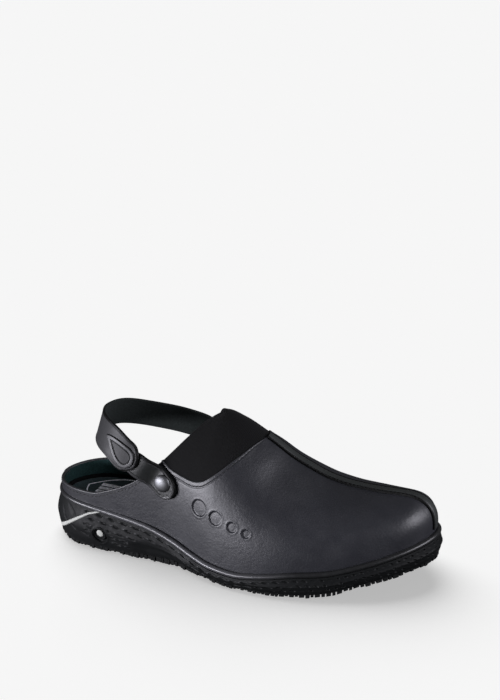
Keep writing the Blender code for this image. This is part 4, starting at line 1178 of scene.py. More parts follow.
def add_tape(tree):
    ridge = np.linspace(SEAM_ALONG - 0.006, 1.0, 240)
    tops = read(WALLS, "top", ridge) * SOLE_LENGTH
    over = np.column_stack([
        tops,
        read(RIDGE, "shift", tops / SOLE_LENGTH) * BALL_WIDTH,
        read(RIDGE, "height", tops / SOLE_LENGTH) * INSTEP_HEIGHT,
    ])
    down = wall(np.full(120, 0.5), np.linspace(math.pi / 2 - 0.05, 0.20, 120))
    path = resampled(softened(resampled(np.vstack([over, down]), 260), 40), 260)
    spread = np.concatenate([[-1.0, -0.985], np.linspace(-0.94, 0.94, 33), [0.985, 1.0]])
    across = np.abs(spread) * TAPE_WIDTH / 2
    top = TAPE_WALL * np.concatenate([[0.0, 0.55], np.full(33, 1.0), [0.55, 0.0]])
    top = top - 0.45 * MM * np.exp(-(((across - TAPE_STITCHES) / (0.38 * MM)) ** 2))
    top = top + 0.22 * MM * np.clip(1 - (across / (2.6 * MM)) ** 2, 0, 1)
    tangents = np.gradient(path, axis=0)
    outer, inner, marks = [], [], {-1: [], 1: []}
    for centre, tangent in zip(path, tangents):
        normal = Vector(-np.cross((0, 1, 0), tangent)).normalized()
        if normal.z < 0 and normal.x < 0:
            normal = -normal
        side = Vector(tangent).cross(normal).normalized()
        row_out, row_in = [], []
        for j, high in zip(spread, top):
            hit = seat_on(tree, centre, side, normal, TAPE_WIDTH / 2 * j)
            row_out.append(hit + normal * (high + 0.05 * MM))
            row_in.append(hit - normal * 0.3 * MM)
        outer.append(row_out)
        inner.append(row_in)
        for s in (-1, 1):
            hit = seat_on(tree, centre, side, normal, s * TAPE_STITCHES)
            marks[s].append((*(hit + normal * (TAPE_WALL - 0.40 * MM)), *normal))
    points, faces = shell(softened(np.array(outer), 3), np.array(inner), closed=False)
    made = make_piece("ridge_tape", points, faces, TAPE, ("centre_tape",), "centre_tape")
    # Faces more than 2.75 mm from the middle, over the stitch grooves and edges, take the dark material as
    # painted shade.
    width = np.tile(across, 2 * len(path))[faces].mean(axis=1)
    paint(made, (DARK_EDGE_AND_PAINTED_SHADE,), width > 2.75 * MM)
    for s, name in ((-1, "outer"), (1, "inner")):
        rows = np.array(marks[s])
        add_stitches("tape_stitches_" + name, rows[:, :3], rows[:, 3:], DARK_THREAD, "centre_tape",
                     length=1.9 * MM, gap=0.9 * MM, radius=0.27 * MM)


# Heel strap

RIM_WIDTH = 2.3 * MM


def strap_piece(name, curve, first, last, lifts, steps, tree, stands_for, field=STRAP, hidden=0.0):
    """A strap with a raised rim round a sunk middle on its outer face, and a plain lined back."""
    reach = np.array([0.0, 0.15, 0.5, 1.0, 1.7, 2.6, 3.7, 5.0, 6.4, 7.6]) * MM
    between = np.linspace(first + 8.6 * MM, last - 8.6 * MM, steps)
    at = np.concatenate([first + reach, between, (last - reach)[::-1]])
    rows, slopes = on_spline(curve, at)
    run = at - at[0]
    halves = half_widths(run, True, True)
    if hidden:
        halves = halves * (0.60 + 0.28 * smooth_step(0.45 * hidden, hidden + 3 * MM, run))
    else:
        halves = halves * (1 + 0.14 * smooth_step(0.52 * run[-1], 0.84 * run[-1], run))
    rising = np.clip((run / run[-1] - 0.35) / 0.25, 0, 1)
    lifts = lifts[0] + (lifts[1] - lifts[0]) * rising**2 * (3 - 2 * rising)
    frames = []
    for row, slope in zip(rows, slopes):
        tangent = Vector(slope[:3]).normalized()
        side = tangent.cross(Vector(row[3:])).normalized()
        frames.append((Vector(row[:3]), side, side.cross(tangent).normalized()))
    offs = np.array([stand_off(c, s, STRAP_WIDTH / 2, n, tree) for c, s, n in frames])
    wide = max(3, round(min(22 * MM, run[-1] / 5) / max(run[-1] / len(run), 1e-6)))
    offs = np.array([offs[max(i - wide, 0) : i + wide + 1].max() for i in range(len(offs))])
    weights = np.hanning(2 * wide + 3)[1:-1]
    padded_offs = np.pad(offs, wide, mode="edge")
    offs = np.convolve(padded_offs, weights / weights.sum(), mode="valid")
    shares = np.concatenate([[-1.0, -0.99, -0.965], np.linspace(-0.93, 0.93, 49), [0.965, 0.99, 1.0]])
    outer, inner, middles, from_edge = [], [], [], []
    end_gap = np.minimum(run, run[-1] - run)
    for (centre, side, normal), half, lift, off, gap in zip(frames, halves, lifts, offs, end_gap):
        centre = centre + normal * (lift + off) + side * (1.2 * MM if hidden else 0.0)
        middles.append((*centre, *side, *normal))
        across = shares * half
        to_edge = half - np.abs(across)
        widest = halves.max() if gap < 0.5 * run[-1] and half > STRAP_WIDTH / 2 else STRAP_WIDTH / 2
        edge = np.minimum(to_edge, np.where(gap < widest, rim_distance(across, gap, widest), to_edge))
        body = STRAP_WALL / 2 * np.sqrt(np.clip(1 - np.clip(1 - edge / (0.8 * MM), 0, 1) ** 2, 0.02, 1))
        groove = 0.34 * MM * np.exp(-(((edge - RIM_WIDTH) / (0.32 * MM)) ** 2))
        middle = 0.16 * MM * smooth_step(RIM_WIDTH, RIM_WIDTH + 0.8 * MM, edge)
        outer.append([centre + side * a + normal * (b - g) for a, b, g in zip(across, body, groove + middle)])
        from_edge.append(np.where(across < 0, edge - 0.7 * MM, edge + 0.4 * MM))
        inner.append([centre + side * a - normal * b for a, b in zip(across, body)])
    outer, inner = np.array(outer), np.array(inner)
    count = outer.shape[0] * outer.shape[1]
    points, faces = shell(outer, inner, closed=False)
    made = make_piece(name, points, faces, STRAP, stands_for, stands_for[0])
    depth = np.concatenate([np.ravel(from_edge)] * 2)[faces].mean(axis=1)
    kind = np.where(depth > RIM_WIDTH - 0.2 * MM, 3, 0)
    kind = np.where(depth < 0.9 * MM, 2, kind)
    kind = np.where((faces >= count).all(axis=1), 1, kind)
    paint(made, (STRAP_BACK, DARK_EDGE_AND_PAINTED_SHADE, field), kind)
    return made, np.array(middles), at


def rim_distance(across, gap, half):
    """Distance to the rim inside a round end."""
    return np.maximum(half - np.hypot(across, half - gap), 0)


def strap_point(middles, at, place, across):
    """A point and normal over the strap's outer face."""
    row = np.array([np.interp(place, at, middles[:, j]) for j in range(9)])
    normal = row[6:9] / np.linalg.norm(row[6:9])
    return row[:3] + row[3:6] * across, normal


def strap_stitches(name, middles, at, first, last, half, look, slot):
    """Stitches on the groove along the strap's edges and round its last end."""
    inset = half - RIM_WIDTH
    route = [(a, -inset) for a in np.linspace(first, last - half, 80)]
    for turn in np.radians(np.linspace(-90, 90, 40)[1:-1]):
        route.append((last - half + inset * math.cos(turn), inset * math.sin(turn)))
    route += [(a, inset) for a in np.linspace(last - half, first, 80)]
    rows = []
    for place, across in route:
        point, normal = strap_point(middles, at, place, across)
        rows.append((*(point + normal * (STRAP_WALL / 2 - 0.30 * MM)), *normal))
    rows = np.array(rows)
    add_stitches(name, rows[:, :3], rows[:, 3:], look, slot, radius=0.24 * MM, length=1.9 * MM, gap=0.8 * MM)


def add_drop(middles, at, end):
    """Raised drop near the long strap's end, with a smaller drop sunk in it by a groove."""
    shares = np.concatenate([
        [0.0, 0.004, 0.015, 0.035],
        np.linspace(0.07, 0.93, 60),
        [0.965, 0.985, 0.996, 1.0],
    ])
    spread = np.concatenate([[-1.0, -0.985, -0.95], np.linspace(-0.90, 0.90, 41), [0.95, 0.985, 1.0]])
    long = 1.06 * DROP_LENGTH
    start = end - 2.0 * MM - long
    turn = math.radians(9)

    def half_at(share):
        share = np.clip(share, 0, 1)
        return 1.12 * DROP_WIDTH / 2 * 1.52 * share**0.8 * np.sqrt(np.maximum(1 - share**3, 0))

    rim_points = np.array([(start + long * s, half_at(s)) for s in np.linspace(0, 1, 240)])
    rim_points = np.concatenate([rim_points, rim_points * (1, -1)])
    outer, inner, from_edge = [], [], []
    for share in shares:
        row_out, row_in = [], []
        half = max(half_at(share), 0.02 * MM)
        for j in spread:
            place, across = start + long * share, j * half
            ahead = place - start - long / 2
            turned = ahead * math.cos(turn) - across * math.sin(turn)
            turned_across = across * math.cos(turn) + ahead * math.sin(turn)
            point, normal = strap_point(middles, at, start + long / 2 + turned, turned_across)
            edge = np.hypot(rim_points[:, 0] - place, rim_points[:, 1] - across).min()
            high = DROP_WALL * math.sqrt(max(1 - max(1 - edge / (0.9 * MM), 0) ** 2, 0))
            high -= 0.50 * MM * math.exp(-(((edge - 3.1 * MM) / (0.34 * MM)) ** 2))
            high -= 0.30 * MM * float(smooth_step(3.1 * MM, 3.9 * MM, edge))
            base = STRAP_WALL / 2 - 0.25 * MM
            row_out.append(point + normal * (base + high + 0.05 * MM))
            row_in.append(point + normal * (base - 0.2 * MM))
            from_edge.append(edge)
        outer.append(row_out)
        inner.append(row_in)
    points, faces = shell(np.array(outer), np.array(inner), closed=False)
    made = make_piece("drop_emblem", points, faces, STRAP_RIM, ("drop_patch",), "drop_patch")
    edge = np.array(from_edge * 2)[faces].mean(axis=1)
    # Painted shade: the faces on the drop's outer edge and in its groove take the dark material.
    dark = (edge < 0.45 * MM) | (np.abs(edge - 3.15 * MM) < 0.42 * MM)
    paint(made, (DARK_EDGE_AND_PAINTED_SHADE, STRAP), np.where(dark, 1, np.where(edge > 3.5 * MM, 2, 0)))


def add_caps(trees):
    """Domed snap caps with a turned rim, and a washer inside the wall."""
    for name, node, seat, side, tree in trees:
        point, normal = wall_seat(seat[0], seat[1] * INSTEP_HEIGHT, side)
        start = Vector(point + normal * RAY_REACH)
        face = tree.ray_cast(start, Vector(-normal))[0]
        stand = (face - Vector(point)).length
        r, high = CAP_RADIUS, CAP_DOME
        turns = np.linspace(0, math.pi / 2, 14)
        dome = [(r * math.sin(a), high * (0.12 + 0.88 * math.cos(a))) for a in turns]
        profile = [
            *dome[:-1], (r * 0.995, high * 0.14), (r * 1.0, high * 0.08), (r * 0.985, 0.02 * high),
            (r * 0.93, -0.02 * high), (CAP_SHANK, 0.0), (CAP_SHANK, -(stand + UPPER_WALL)),
            (CAP_WASHER_RADIUS, -(stand + UPPER_WALL + 0.2 * MM)),
            (CAP_WASHER_RADIUS, -(stand + UPPER_WALL + CAP_WASHER_WALL)),
            (0, -(stand + UPPER_WALL + CAP_WASHER_WALL)),
        ]
        points, faces = lathe(profile, point + normal * (stand + 0.12 * MM), normal)
        make_piece(name, points, faces, STEEL, (node,), node)


# Sole

SOLE_COLUMNS = 1000
SIDE_ROWS = 46


def pit_size(along):
    """Half length of a pit along the foot: long at the heel and the arch, round at the toe."""
    return np.interp(along, (0, 0.35, 0.62, 0.80, 1.0), (2.6, 3.0, 2.3, 1.2, 1.0)) * MM


def side_relief(t, high, low, bead):
    """Depth of the pits and ribs pressed into the sole's side."""
    along = along_of(t)
    half = pit_size(along)
    step = 2 * half + np.interp(along, (0, 0.45, 0.7, 1.0), (4.6, 3.6, 2.8, 2.9)) * MM
    length = 2 * HALF_ROUND / len(t)
    count = np.cumsum(length / step)
    depth = np.zeros(high.shape)
    down = (bead - 3.8 * MM) - high
    pitch = np.interp(along, (0, 0.45, 0.7, 1.0), (4.4, 4.0, 3.4, 3.5)) * MM
    row = np.floor(down / pitch)
    middle = (row + 0.5) * pitch
    off_row = middle - down
    shifted = count[None, :] + 0.5 * np.mod(row, 2) + 0.13 * row
    local = (np.mod(shifted, 1.0) - 0.5) * step[None, :]
    local = local + off_row * 0.9
    tall = np.interp(along, (0, 0.6, 0.85, 1.0), (0.78, 0.72, 0.85, 0.85)) * MM
    inside = np.sqrt((local / half[None, :]) ** 2 + (off_row / tall[None, :]) ** 2)
    plain = np.abs(along - BUTTON_ALONG) * SOLE_LENGTH
    level = (high - low) / (bead - low)
    from_button = np.hypot(plain[None, :], (level - BUTTON_LEVEL) * (bead - low))
    fade = smooth_step(7.6 * MM, 9.0 * MM, from_button)
    outer_side = on_outer_side(t)[None, :]
    waist = np.hypot((along[None, :] - 0.33) / 0.085, (level - 0.16) / 0.42)
    fade = fade * np.where(outer_side, smooth_step(0.85, 1.1, waist), 1)
    depth += np.where(outer_side, 1.3 * MM * (1 - smooth_step(0.35, 1.1, waist)), 0)
    pocket = (BUTTON_DEPTH + 0.1 * MM) * (1 - smooth_step(5.0 * MM, 5.7 * MM, from_button))
    ring = 0.35 * MM * np.exp(-(((from_button - 6.4 * MM) / (0.6 * MM)) ** 2))
    depth += np.where(outer_side, pocket - ring, 0)
    fade = np.where(outer_side & (along < 0.12)[None, :], 0.0, fade)
    fade = np.where(outer_side, fade, 1.0)
    fade = fade * smooth_step(0.10, 0.20, level) * (down > 0)
    kept = np.where((along[None, :] > 0.66) & (np.mod(np.floor(shifted) * 3 + row * 5, 7) < 2), 0.25, 1.0)
    fade = fade * kept
    deep = np.interp(along, (0.6, 0.75), (0.75, 0.90))[None, :] * MM
    depth += deep * (1 - smooth_step(0.55, 1.10, inside)) * fade
    lip = np.exp(-(((inside - 1.35) / 0.34) ** 2)) * smooth_step(-0.1 * MM, 0.3 * MM, off_row) * fade
    lip = lip * np.interp(along, (0, 0.55, 0.70, 1.0), (1, 0.9, 0.35, 0.40))[None, :]
    depth -= 0.30 * MM * lip
    # a fine rib that starts at the arch and runs forward above the tread
    rib = smooth_step(0.28, 0.40, along)[None, :] * np.exp(-(((level - 0.42) / 0.05) ** 2))
    depth -= 0.35 * MM * rib
    return depth, lip


# Single forms at the outer side of the heel: share of the length, level, half length,
# half height, slant in degrees, depth. A negative depth is raised.
HEEL_FORMS = (
    (0.078, 0.72, 5.8 * MM, 1.5 * MM, 36, 0.35 * MM),
    (0.134, 0.52, 3.6 * MM, 1.4 * MM, 20, -0.45 * MM),
    (0.122, 0.28, 4.4 * MM, 0.6 * MM, 20, 0.45 * MM),
    (0.085, 0.36, 4.0 * MM, 0.6 * MM, 30, 0.45 * MM),
    (0.048, 0.62, 3.4 * MM, 0.9 * MM, 50, 0.45 * MM),
    (0.060, 0.47, 3.4 * MM, 0.7 * MM, 38, 0.40 * MM),
)


def heel_relief(t, high, low, bead):
    along, depth = along_of(t), np.zeros(high.shape)
    run = t * 2 * HALF_ROUND
    for share, level, half, tall, slant, deep in HEEL_FORMS:
        place = t_at(share, OUTER)
        across = (run - place * 2 * HALF_ROUND)[None, :]
        middle = (low + level * (bead - low))[None, :]
        up = high - middle
        turn = math.radians(slant)
        a = across * math.cos(turn) - up * math.sin(turn)
        b = across * math.sin(turn) + up * math.cos(turn)
        pointed = tall * np.clip(1 - np.abs(a / half) ** 1.8, 0.0, 1)
        edge = np.clip((pointed - np.abs(b)) / (0.5 * MM), -1, 1)
        inside = smooth_step(-0.6, 0.6, edge) * (np.abs(a) < half)
        depth += np.where(on_outer_side(t) & (along < 0.3), deep * inside, 0)
    return depth


def heel_lean(along):
    """How much the side leans in under its rim, from 1 round the heel to 0 at the arch."""
    return 1 - smooth_step(0.14, 0.40, along)


def make_side():
    t = np.arange(SOLE_COLUMNS) / SOLE_COLUMNS
    low, bead = side_foot(t) - 2.3 * MM, bead_top(t)
    side_top = bead - 3.6 * MM
    share = np.linspace(0, 1, SIDE_ROWS)[:, None]
    high = low + share * (side_top - low)
    level = (high - low) / (bead - low)
    coarse = np.array([*SIDE_LEVELS, 0.9])
    insets = np.array([*SIDE_INSETS, 1.6 * MM])
    fine = np.linspace(0, 1, 401)
    soft = np.interp(fine, coarse, insets)
    soft = np.convolve(np.pad(soft, 10, mode="edge"), np.ones(21) / 21, mode="valid")
    lean = heel_lean(along_of(t))
    inset = np.interp(level, fine, soft) + 2.0 * MM * lean * smooth_step(0.45, 1.0, level)
    pressed, lip = side_relief(t, high, low, bead)
    inset = inset + pressed + heel_relief(t, high, low, bead)
    rings = [outline(t, TREAD_INSET + 3 * MM), outline(t, TREAD_INSET + 0.6 * MM)]
    heights = [low + 0.6 * MM, low]
    for k in range(SIDE_ROWS):
        rings.append(outline(t, inset[k]))
        heights.append(high[k])
    turns = np.radians(np.linspace(-75, 90, 14))
    for a in turns:
        rings.append(outline(t, (2.4 + 1.8 * lean) * MM - 1.85 * MM * math.cos(a)))
        heights.append(bead - 1.85 * MM + 1.85 * MM * math.sin(a))
    inner_rings = (
        (2.9, 1.9, 0.12), (3.6, 1.3, 0.40), (4.9, 0.4, 0.6),
        (5.0, 0.3, 4.0), (6.8, 0, 4.0), (7.6, 0, 4.4),
    )
    for inset_here, moved, drop in inner_rings:
        rings.append(outline(t, (inset_here + moved * lean) * MM))
        heights.append(bead - drop * MM)
    ledge = bead - LEDGE_DROP
    bed = np.minimum(ledge - 0.2 * MM, bed_top(outline(t, 7.6 * MM)[:, 0]))
    heights[-1] = bed
    grid = np.stack([np.column_stack([r, h]) for r, h in zip(rings, heights)])
    points = [tuple(p) for p in grid.reshape(-1, 3)]
    faces = [tuple(f) for f in quad_grid(*grid.shape[:2], True)]
    n, count = SOLE_COLUMNS, grid.shape[0]
    faces += fill_ring(points, list(range(n)), lambda x, share: tread_under(x) + 0.5 * MM, 5)
    faces += fill_ring(points, list(range((count - 1) * n, count * n)), lambda x, share: bed_top(x), 5)
    made = make_piece("sole_side", points, faces, SIDE, ("midsole",), "midsole", sharp=40)
    first = (SIDE_ROWS + 2) * n  # the rim follows the side
    kind = np.zeros(len(faces), int)
    kind[first : first + 16 * n] = 1
    # The faces on the pits' raised lips take the lighter material, as a painted highlight.
    painted_highlight = lip[:-1] + lip[1:]
    painted_highlight = (painted_highlight + np.roll(painted_highlight, -1, axis=1)) / 4 > 0.55
    kind[2 * n : (SIDE_ROWS + 1) * n] = np.where(painted_highlight.ravel(), 2, 0)
    paint(made, (BEAD, PAINTED_LIP_HIGHLIGHT), kind)


def fill_ring(points, ring, height, cells):
    """Closes a ring of points with strips from side to side. height takes x and the share across."""
    half = len(ring) // 2
    rows = []
    for i in range(1, half):
        a, b = points[ring[i]], points[ring[-i]]
        row = [ring[i]]
        for k in range(1, cells):
            share = k / cells
            x, y = a[0] + (b[0] - a[0]) * share, a[1] + (b[1] - a[1]) * share
            points.append((x, y, height(x, share)))
            row.append(len(points) - 1)
        rows.append([*row, ring[-i]])
    faces = [(ring[0], rows[0][k + 1], rows[0][k]) for k in range(cells)]
    faces += [(ring[half], rows[-1][k], rows[-1][k + 1]) for k in range(cells)]
    for first, second in zip(rows, rows[1:]):
        faces += [(first[k], first[k + 1], second[k + 1], second[k]) for k in range(cells)]
    return faces


def block(points, faces, corners, top, bottom, slope=0.35 * MM, round_edge=0.3 * MM):
    """A lug between four plan corners, a little narrower at its foot, with a bevelled edge."""
    corners = np.asarray(corners, float)
    middle = corners.mean(axis=0)
    away = corners - middle
    size = np.linalg.norm(away, axis=1)[:, None]
    base = len(points)
    low = np.array([bottom(x) for x, _ in corners])
    for inset, lift in ((0.0, None), (slope, round_edge), (slope + round_edge, 0.0)):
        plan = middle + away * (1 - inset / size)
        for (x, y), z in zip(plan, low):
            points.append((x, y, top(x) if lift is None else z + lift))
    for ring in range(2):
        for k in range(4):
            n = (k + 1) % 4
            a, b = base + ring * 4, base + (ring + 1) * 4
            faces.append((a + k, a + n, b + n, b + k))
    faces.append(tuple(base + 8 + k for k in range(4)))
    faces.append(tuple(base + k for k in range(3, -1, -1)))


# Widths of the edge teeth in turn, as shares of their step, and how far each is set back.
TEETH = (1.00, 0.70, 1.30, 0.85, 1.15, 0.75, 1.25)
TEETH_BACK = (0.0, 0.55, 0.15, 0.0, 0.75, 0.2, 0.0, 0.4, 0.1, 0.9, 0.0)
# Lugs in a cell of the tread, by their corners' shares of the cell: four squares or one diamond.
CUTS = ((0.06, 0.47), (0.53, 0.94))
SQUARES = [((u0, v0), (u1, v0), (u1, v1), (u0, v1)) for u0, u1 in CUTS for v0, v1 in CUTS]
DIAMOND = [((0.5, 0.28), (0.72, 0.5), (0.5, 0.72), (0.28, 0.5))]


def make_tread():
    """Tread plate with fine edge lugs in groups and small blocks across the sole."""
    n = 400
    t = np.arange(n) / n
    under = tread_under(outline(t)[:, 0])
    rings = ((TREAD_INSET + 0.8 * MM, 0.0), (TREAD_INSET + 0.2 * MM, 0.15 * MM), (TREAD_INSET, 0.6 * MM),
             (TREAD_INSET, TREAD_PLATE))
    points = []
    for inset, up in rings:
        points += [(x, y, z) for (x, y), z in zip(outline(t, inset), under + up)]
    faces = [tuple(f) for f in quad_grid(len(rings), n, True)]
    upper = list(range((len(rings) - 1) * n, len(rings) * n))
    faces += fill_ring(points, list(range(n)), lambda x, share: tread_under(x), 5)
    faces += fill_ring(points, upper, lambda x, share: tread_under(x) + TREAD_PLATE, 5)

    def top(x):
        return float(tread_under(x)) + 0.3 * MM

    def bottom(x):
        return float(rise(x))

    def raised(x):
        return bottom(x) + 0.9 * MM

    def shoulder(x):
        return float(tread_under(x)) + 1.6 * MM

    place, k = 0.0, 0
    while place < 1.0:
        along = float(along_of(np.array([place]))[0])
        step = TEETH[k % len(TEETH)] * np.interp(along, (0, 0.4, 0.7, 1.0), (2.2, 2.3, 3.5, 4.2)) * MM
        share = step / (2 * HALF_ROUND)
        a, b = place + 0.09 * share, place + 0.91 * share
        out = TREAD_INSET - (0.7 - 0.9 * TEETH_BACK[k % len(TEETH_BACK)]) * MM
        deep = out + (3.4 if k % 2 else 6.0) * MM
        first, second = outline(np.array([a, b]), out), outline(np.array([a, b]), deep)
        up = 1.3 * MM * TEETH_BACK[(k * 3 + 1) % len(TEETH_BACK)]

        def foot(x, up=up):
            return bottom(x) + up

        block(points, faces, [first[0], first[1], second[1], second[0]], shoulder, foot, 0.22 * MM, 0.2 * MM)
        place += share
        k += 1
    edge = outline(sole_columns(), TREAD_INSET + EDGE_LUG_DEPTH)
    half = COLUMNS // 2
    shares = np.arange(BED_CELLS + 1)[:, None] / BED_CELLS
    rows = [edge[i] + (edge[-i] - edge[i]) * shares for i in range(1, half)]
    for r, (first, second) in enumerate(zip(rows, rows[1:])):
        for c in range(BED_CELLS):
            corners = np.array([first[c], first[c + 1], second[c + 1], second[c]])
            squares = (r + c) % 2 == 0
            for plan in SQUARES if squares else DIAMOND:
                quad = [bilinear(corners, u, v) for u, v in plan]
                if np.linalg.norm(quad[0] - quad[2]) > 2 * MM:
                    block(points, faces, quad, top, bottom if squares else raised)
    make_piece("tread", points, faces, TREAD, ("outsole",), "outsole", sharp=30)


def bilinear(corners, u, v):
    a = corners[0] * (1 - u) + corners[1] * u
    b = corners[3] * (1 - u) + corners[2] * u
    return a * (1 - v) + b * v


def make_footbed():
    t = np.arange(360) / 360
    inset = BEAD_WIDTH + LEDGE_WIDTH + 1.2 * MM
    cup = 0.55 * INSOLE_CUP
    low = bed_top(outline(t, inset)[:, 0]) + CLEARANCE
    rings = []
    for moved, up in ((0.0, 0.0), (-0.2 * MM, 0.6 * INSOLE_WALL), (0.0, INSOLE_WALL + cup - 0.5 * MM),
                      (0.35 * MM, INSOLE_WALL + cup - 0.1 * MM), (0.9 * MM, INSOLE_WALL + cup)):
        rings.append(np.column_stack([outline(t, inset + moved), low + up]))
    points = [tuple(p) for ring in rings for p in ring]
    faces = [tuple(f) for f in quad_grid(len(rings), len(t), True)]
    faces += fill_ring(points, list(range(len(t))), lambda x, share: bed_top(x) + CLEARANCE, 6)

    def dished(x, share):
        return bed_top(x) + CLEARANCE + INSOLE_WALL + abs(2 * share - 1) ** 3 * cup

    faces += fill_ring(points, list(range(4 * len(t), 5 * len(t))), dished, 30)
    make_piece("footbed", points, faces, FOOTBED, ("insole",), "insole", sharp=60)


# Generic label frame on the footbed: corners in the foot's plan, in millimetres.
LABEL = ((17.0, 9.7), (30.0, 20.5), (62.0, 21.0), (68.0, 6.0), (62.0, -9.0), (30.0, -7.0), (19.0, 2.0))


def bed_face(bed, x, y):
    """Height of the footbed's upper face."""
    hit = bed.ray_cast(Vector((x, y, 0.08)), Vector((0, 0, -1)))[0]
    return hit.z if hit else float(bed_top(x)) + INSOLE_WALL


def add_label(bed):
    """A printed frame with plain ribs inside it, raised a hair above the footbed."""
    corners = np.array(LABEL) * MM
    closed = np.vstack([corners, corners[:1]])
    fine = spline(np.column_stack([closed, np.zeros(len(closed))]), closed=False)
    place = on_spline(fine, np.linspace(0, fine[0][-1], 240, endpoint=False))[0][:, :2]
    middle = place.mean(axis=0)
    points, faces = [], []
    n = len(place)
    for shrink in (0.0, 1.0 * MM):
        away = place - middle
        plan = middle + away * (1 - shrink / np.linalg.norm(away, axis=1)[:, None])
        points += [(x, y, bed_face(bed, x, y) + 0.10 * MM) for x, y in plan]
    faces += [(k, (k + 1) % n, n + (k + 1) % n, n + k) for k in range(n)]
    for row in range(4):
        y0 = 15.0 - row * 5.0
        for part in range(17):
            x0, x1 = 26.0 + part * 2.0, 28.0 + part * 2.0
            base = len(points)
            for x, y in ((x0, y0), (x1, y0), (x1, y0 - 3.8), (x0, y0 - 3.8)):
                points.append((x * MM, y * MM, bed_face(bed, x * MM, y * MM) + 0.10 * MM))
            faces.append((base, base + 3, base + 2, base + 1))
    make_piece("footbed_print", points, faces, PRINT, slot="insole", merge=0.02 * MM)


def add_stripe(tree):
    along = np.linspace(0.037, STRIPE["along"][-1] - 0.004, 90)
    t, levels = t_at(along, OUTER), np.interp(along, STRIPE["along"], STRIPE["level"])
    width = STRIPE_WIDTH / 2 * read(STRIPE, "width", along)
    spread = np.linspace(-1, 1, 11)
    outer, inner = [], []
    centres = np.array([side_point(a, level) for a, level in zip(t, levels)])
    tangents = np.gradient(centres, axis=0)
    for a, level, centre, half, tangent, k in zip(t, levels, centres, width, tangents, range(90)):
        normal = Vector(side_normal(a, level))
        side = Vector(tangent).cross(normal).normalized()
        row_out, row_in = [], []
        taper = min(1.0, (89 - k) / 4 + 0.2)
        for j in spread:
            hit = seat_on(tree, centre, side, normal, half * j * taper)
            high = STRIPE_WALL * math.sqrt(max(1 - abs(j) ** 3, 0.0))
            row_out.append(hit + normal * (high + 0.02 * MM))
            row_in.append(hit - normal * 0.35 * MM)
        outer.append(row_out)
        inner.append(row_in)
    points, faces = shell(softened(np.array(outer), 8), np.array(inner), closed=False)
    make_piece("heel_stripe", points, faces, PALE, ("sole_stripe",), "sole_stripe")


def add_button():
    """Round plug in the heel's side: a dark dished ring with a smaller pale disc."""
    t = t_at(BUTTON_ALONG, OUTER)
    normal = side_normal(t, BUTTON_LEVEL)
    place = side_point(t, BUTTON_LEVEL) - normal * BUTTON_DEPTH
    r, rim, top = BUTTON_RADIUS, BUTTON_RIM, BUTTON_DEPTH
    profile = [
        (0, 0.50 * top), (r - 1.6 * rim, 0.50 * top), (r - rim, 0.56 * top), (r - 0.8 * rim, 0.95 * top),
        (r - 0.5 * rim, 1.06 * top), (r - 0.2 * rim, 0.98 * top), (r, 0.8 * top), (r, CLEARANCE),
        (0, CLEARANCE),
    ]
    points, faces = lathe(profile, place, normal)
    make_piece("heel_plug", points, faces, SIDE, ("sole_button",), "sole_button")
    inner = 0.50 * r
    profile = [
        (0, 0.92 * top), (0.6 * inner, 0.90 * top), (0.88 * inner, 0.84 * top), (inner, 0.70 * top),
        (inner, 0.45 * top), (0, 0.45 * top),
    ]
    points, faces = lathe(profile, place, normal, 48)
    make_piece("heel_plug_face", points, faces, PALE, slot="sole_button")


# Floor, light and camera

FLOOR_GLOW = 0.46
FLOOR_SKY = 2.14
WORLD_DIM = 0.04
WORLD_SEEN = 0.91
SHOE_SKY = 0.165
FRONT_LEFT = 62.0
FRONT_RIGHT = 50.0
LIGHT_COLOUR = (0.93, 0.92, 1.0)
FLOOR_HALF = 9.0

# The photograph's camera: the eye's place, its turn, tilt and roll in degrees, and its focal
# length in pixels of a picture of this height.
EYE = (0.471289, -1.068428, 0.617230)
TURN, TILT, ROLL = 23.3144, 21.7596, -1.6639
FOCAL_PIXELS = 1894.489
PICTURE_HEIGHT = 700
SENSOR = 36.0


def add_light(name, place, aim, size, power):
    data = bpy.data.lights.new(name, "AREA")
    data.shape = "RECTANGLE"
    data.size, data.size_y = size
    data.energy = power
    data.color = LIGHT_COLOUR
    light = bpy.data.objects.new(name, data)
    light.location = place
    light.rotation_euler = (Vector(place) - Vector(aim)).to_track_quat("Z", "Y").to_euler()
    bpy.context.scene.collection.objects.link(light)
    return light


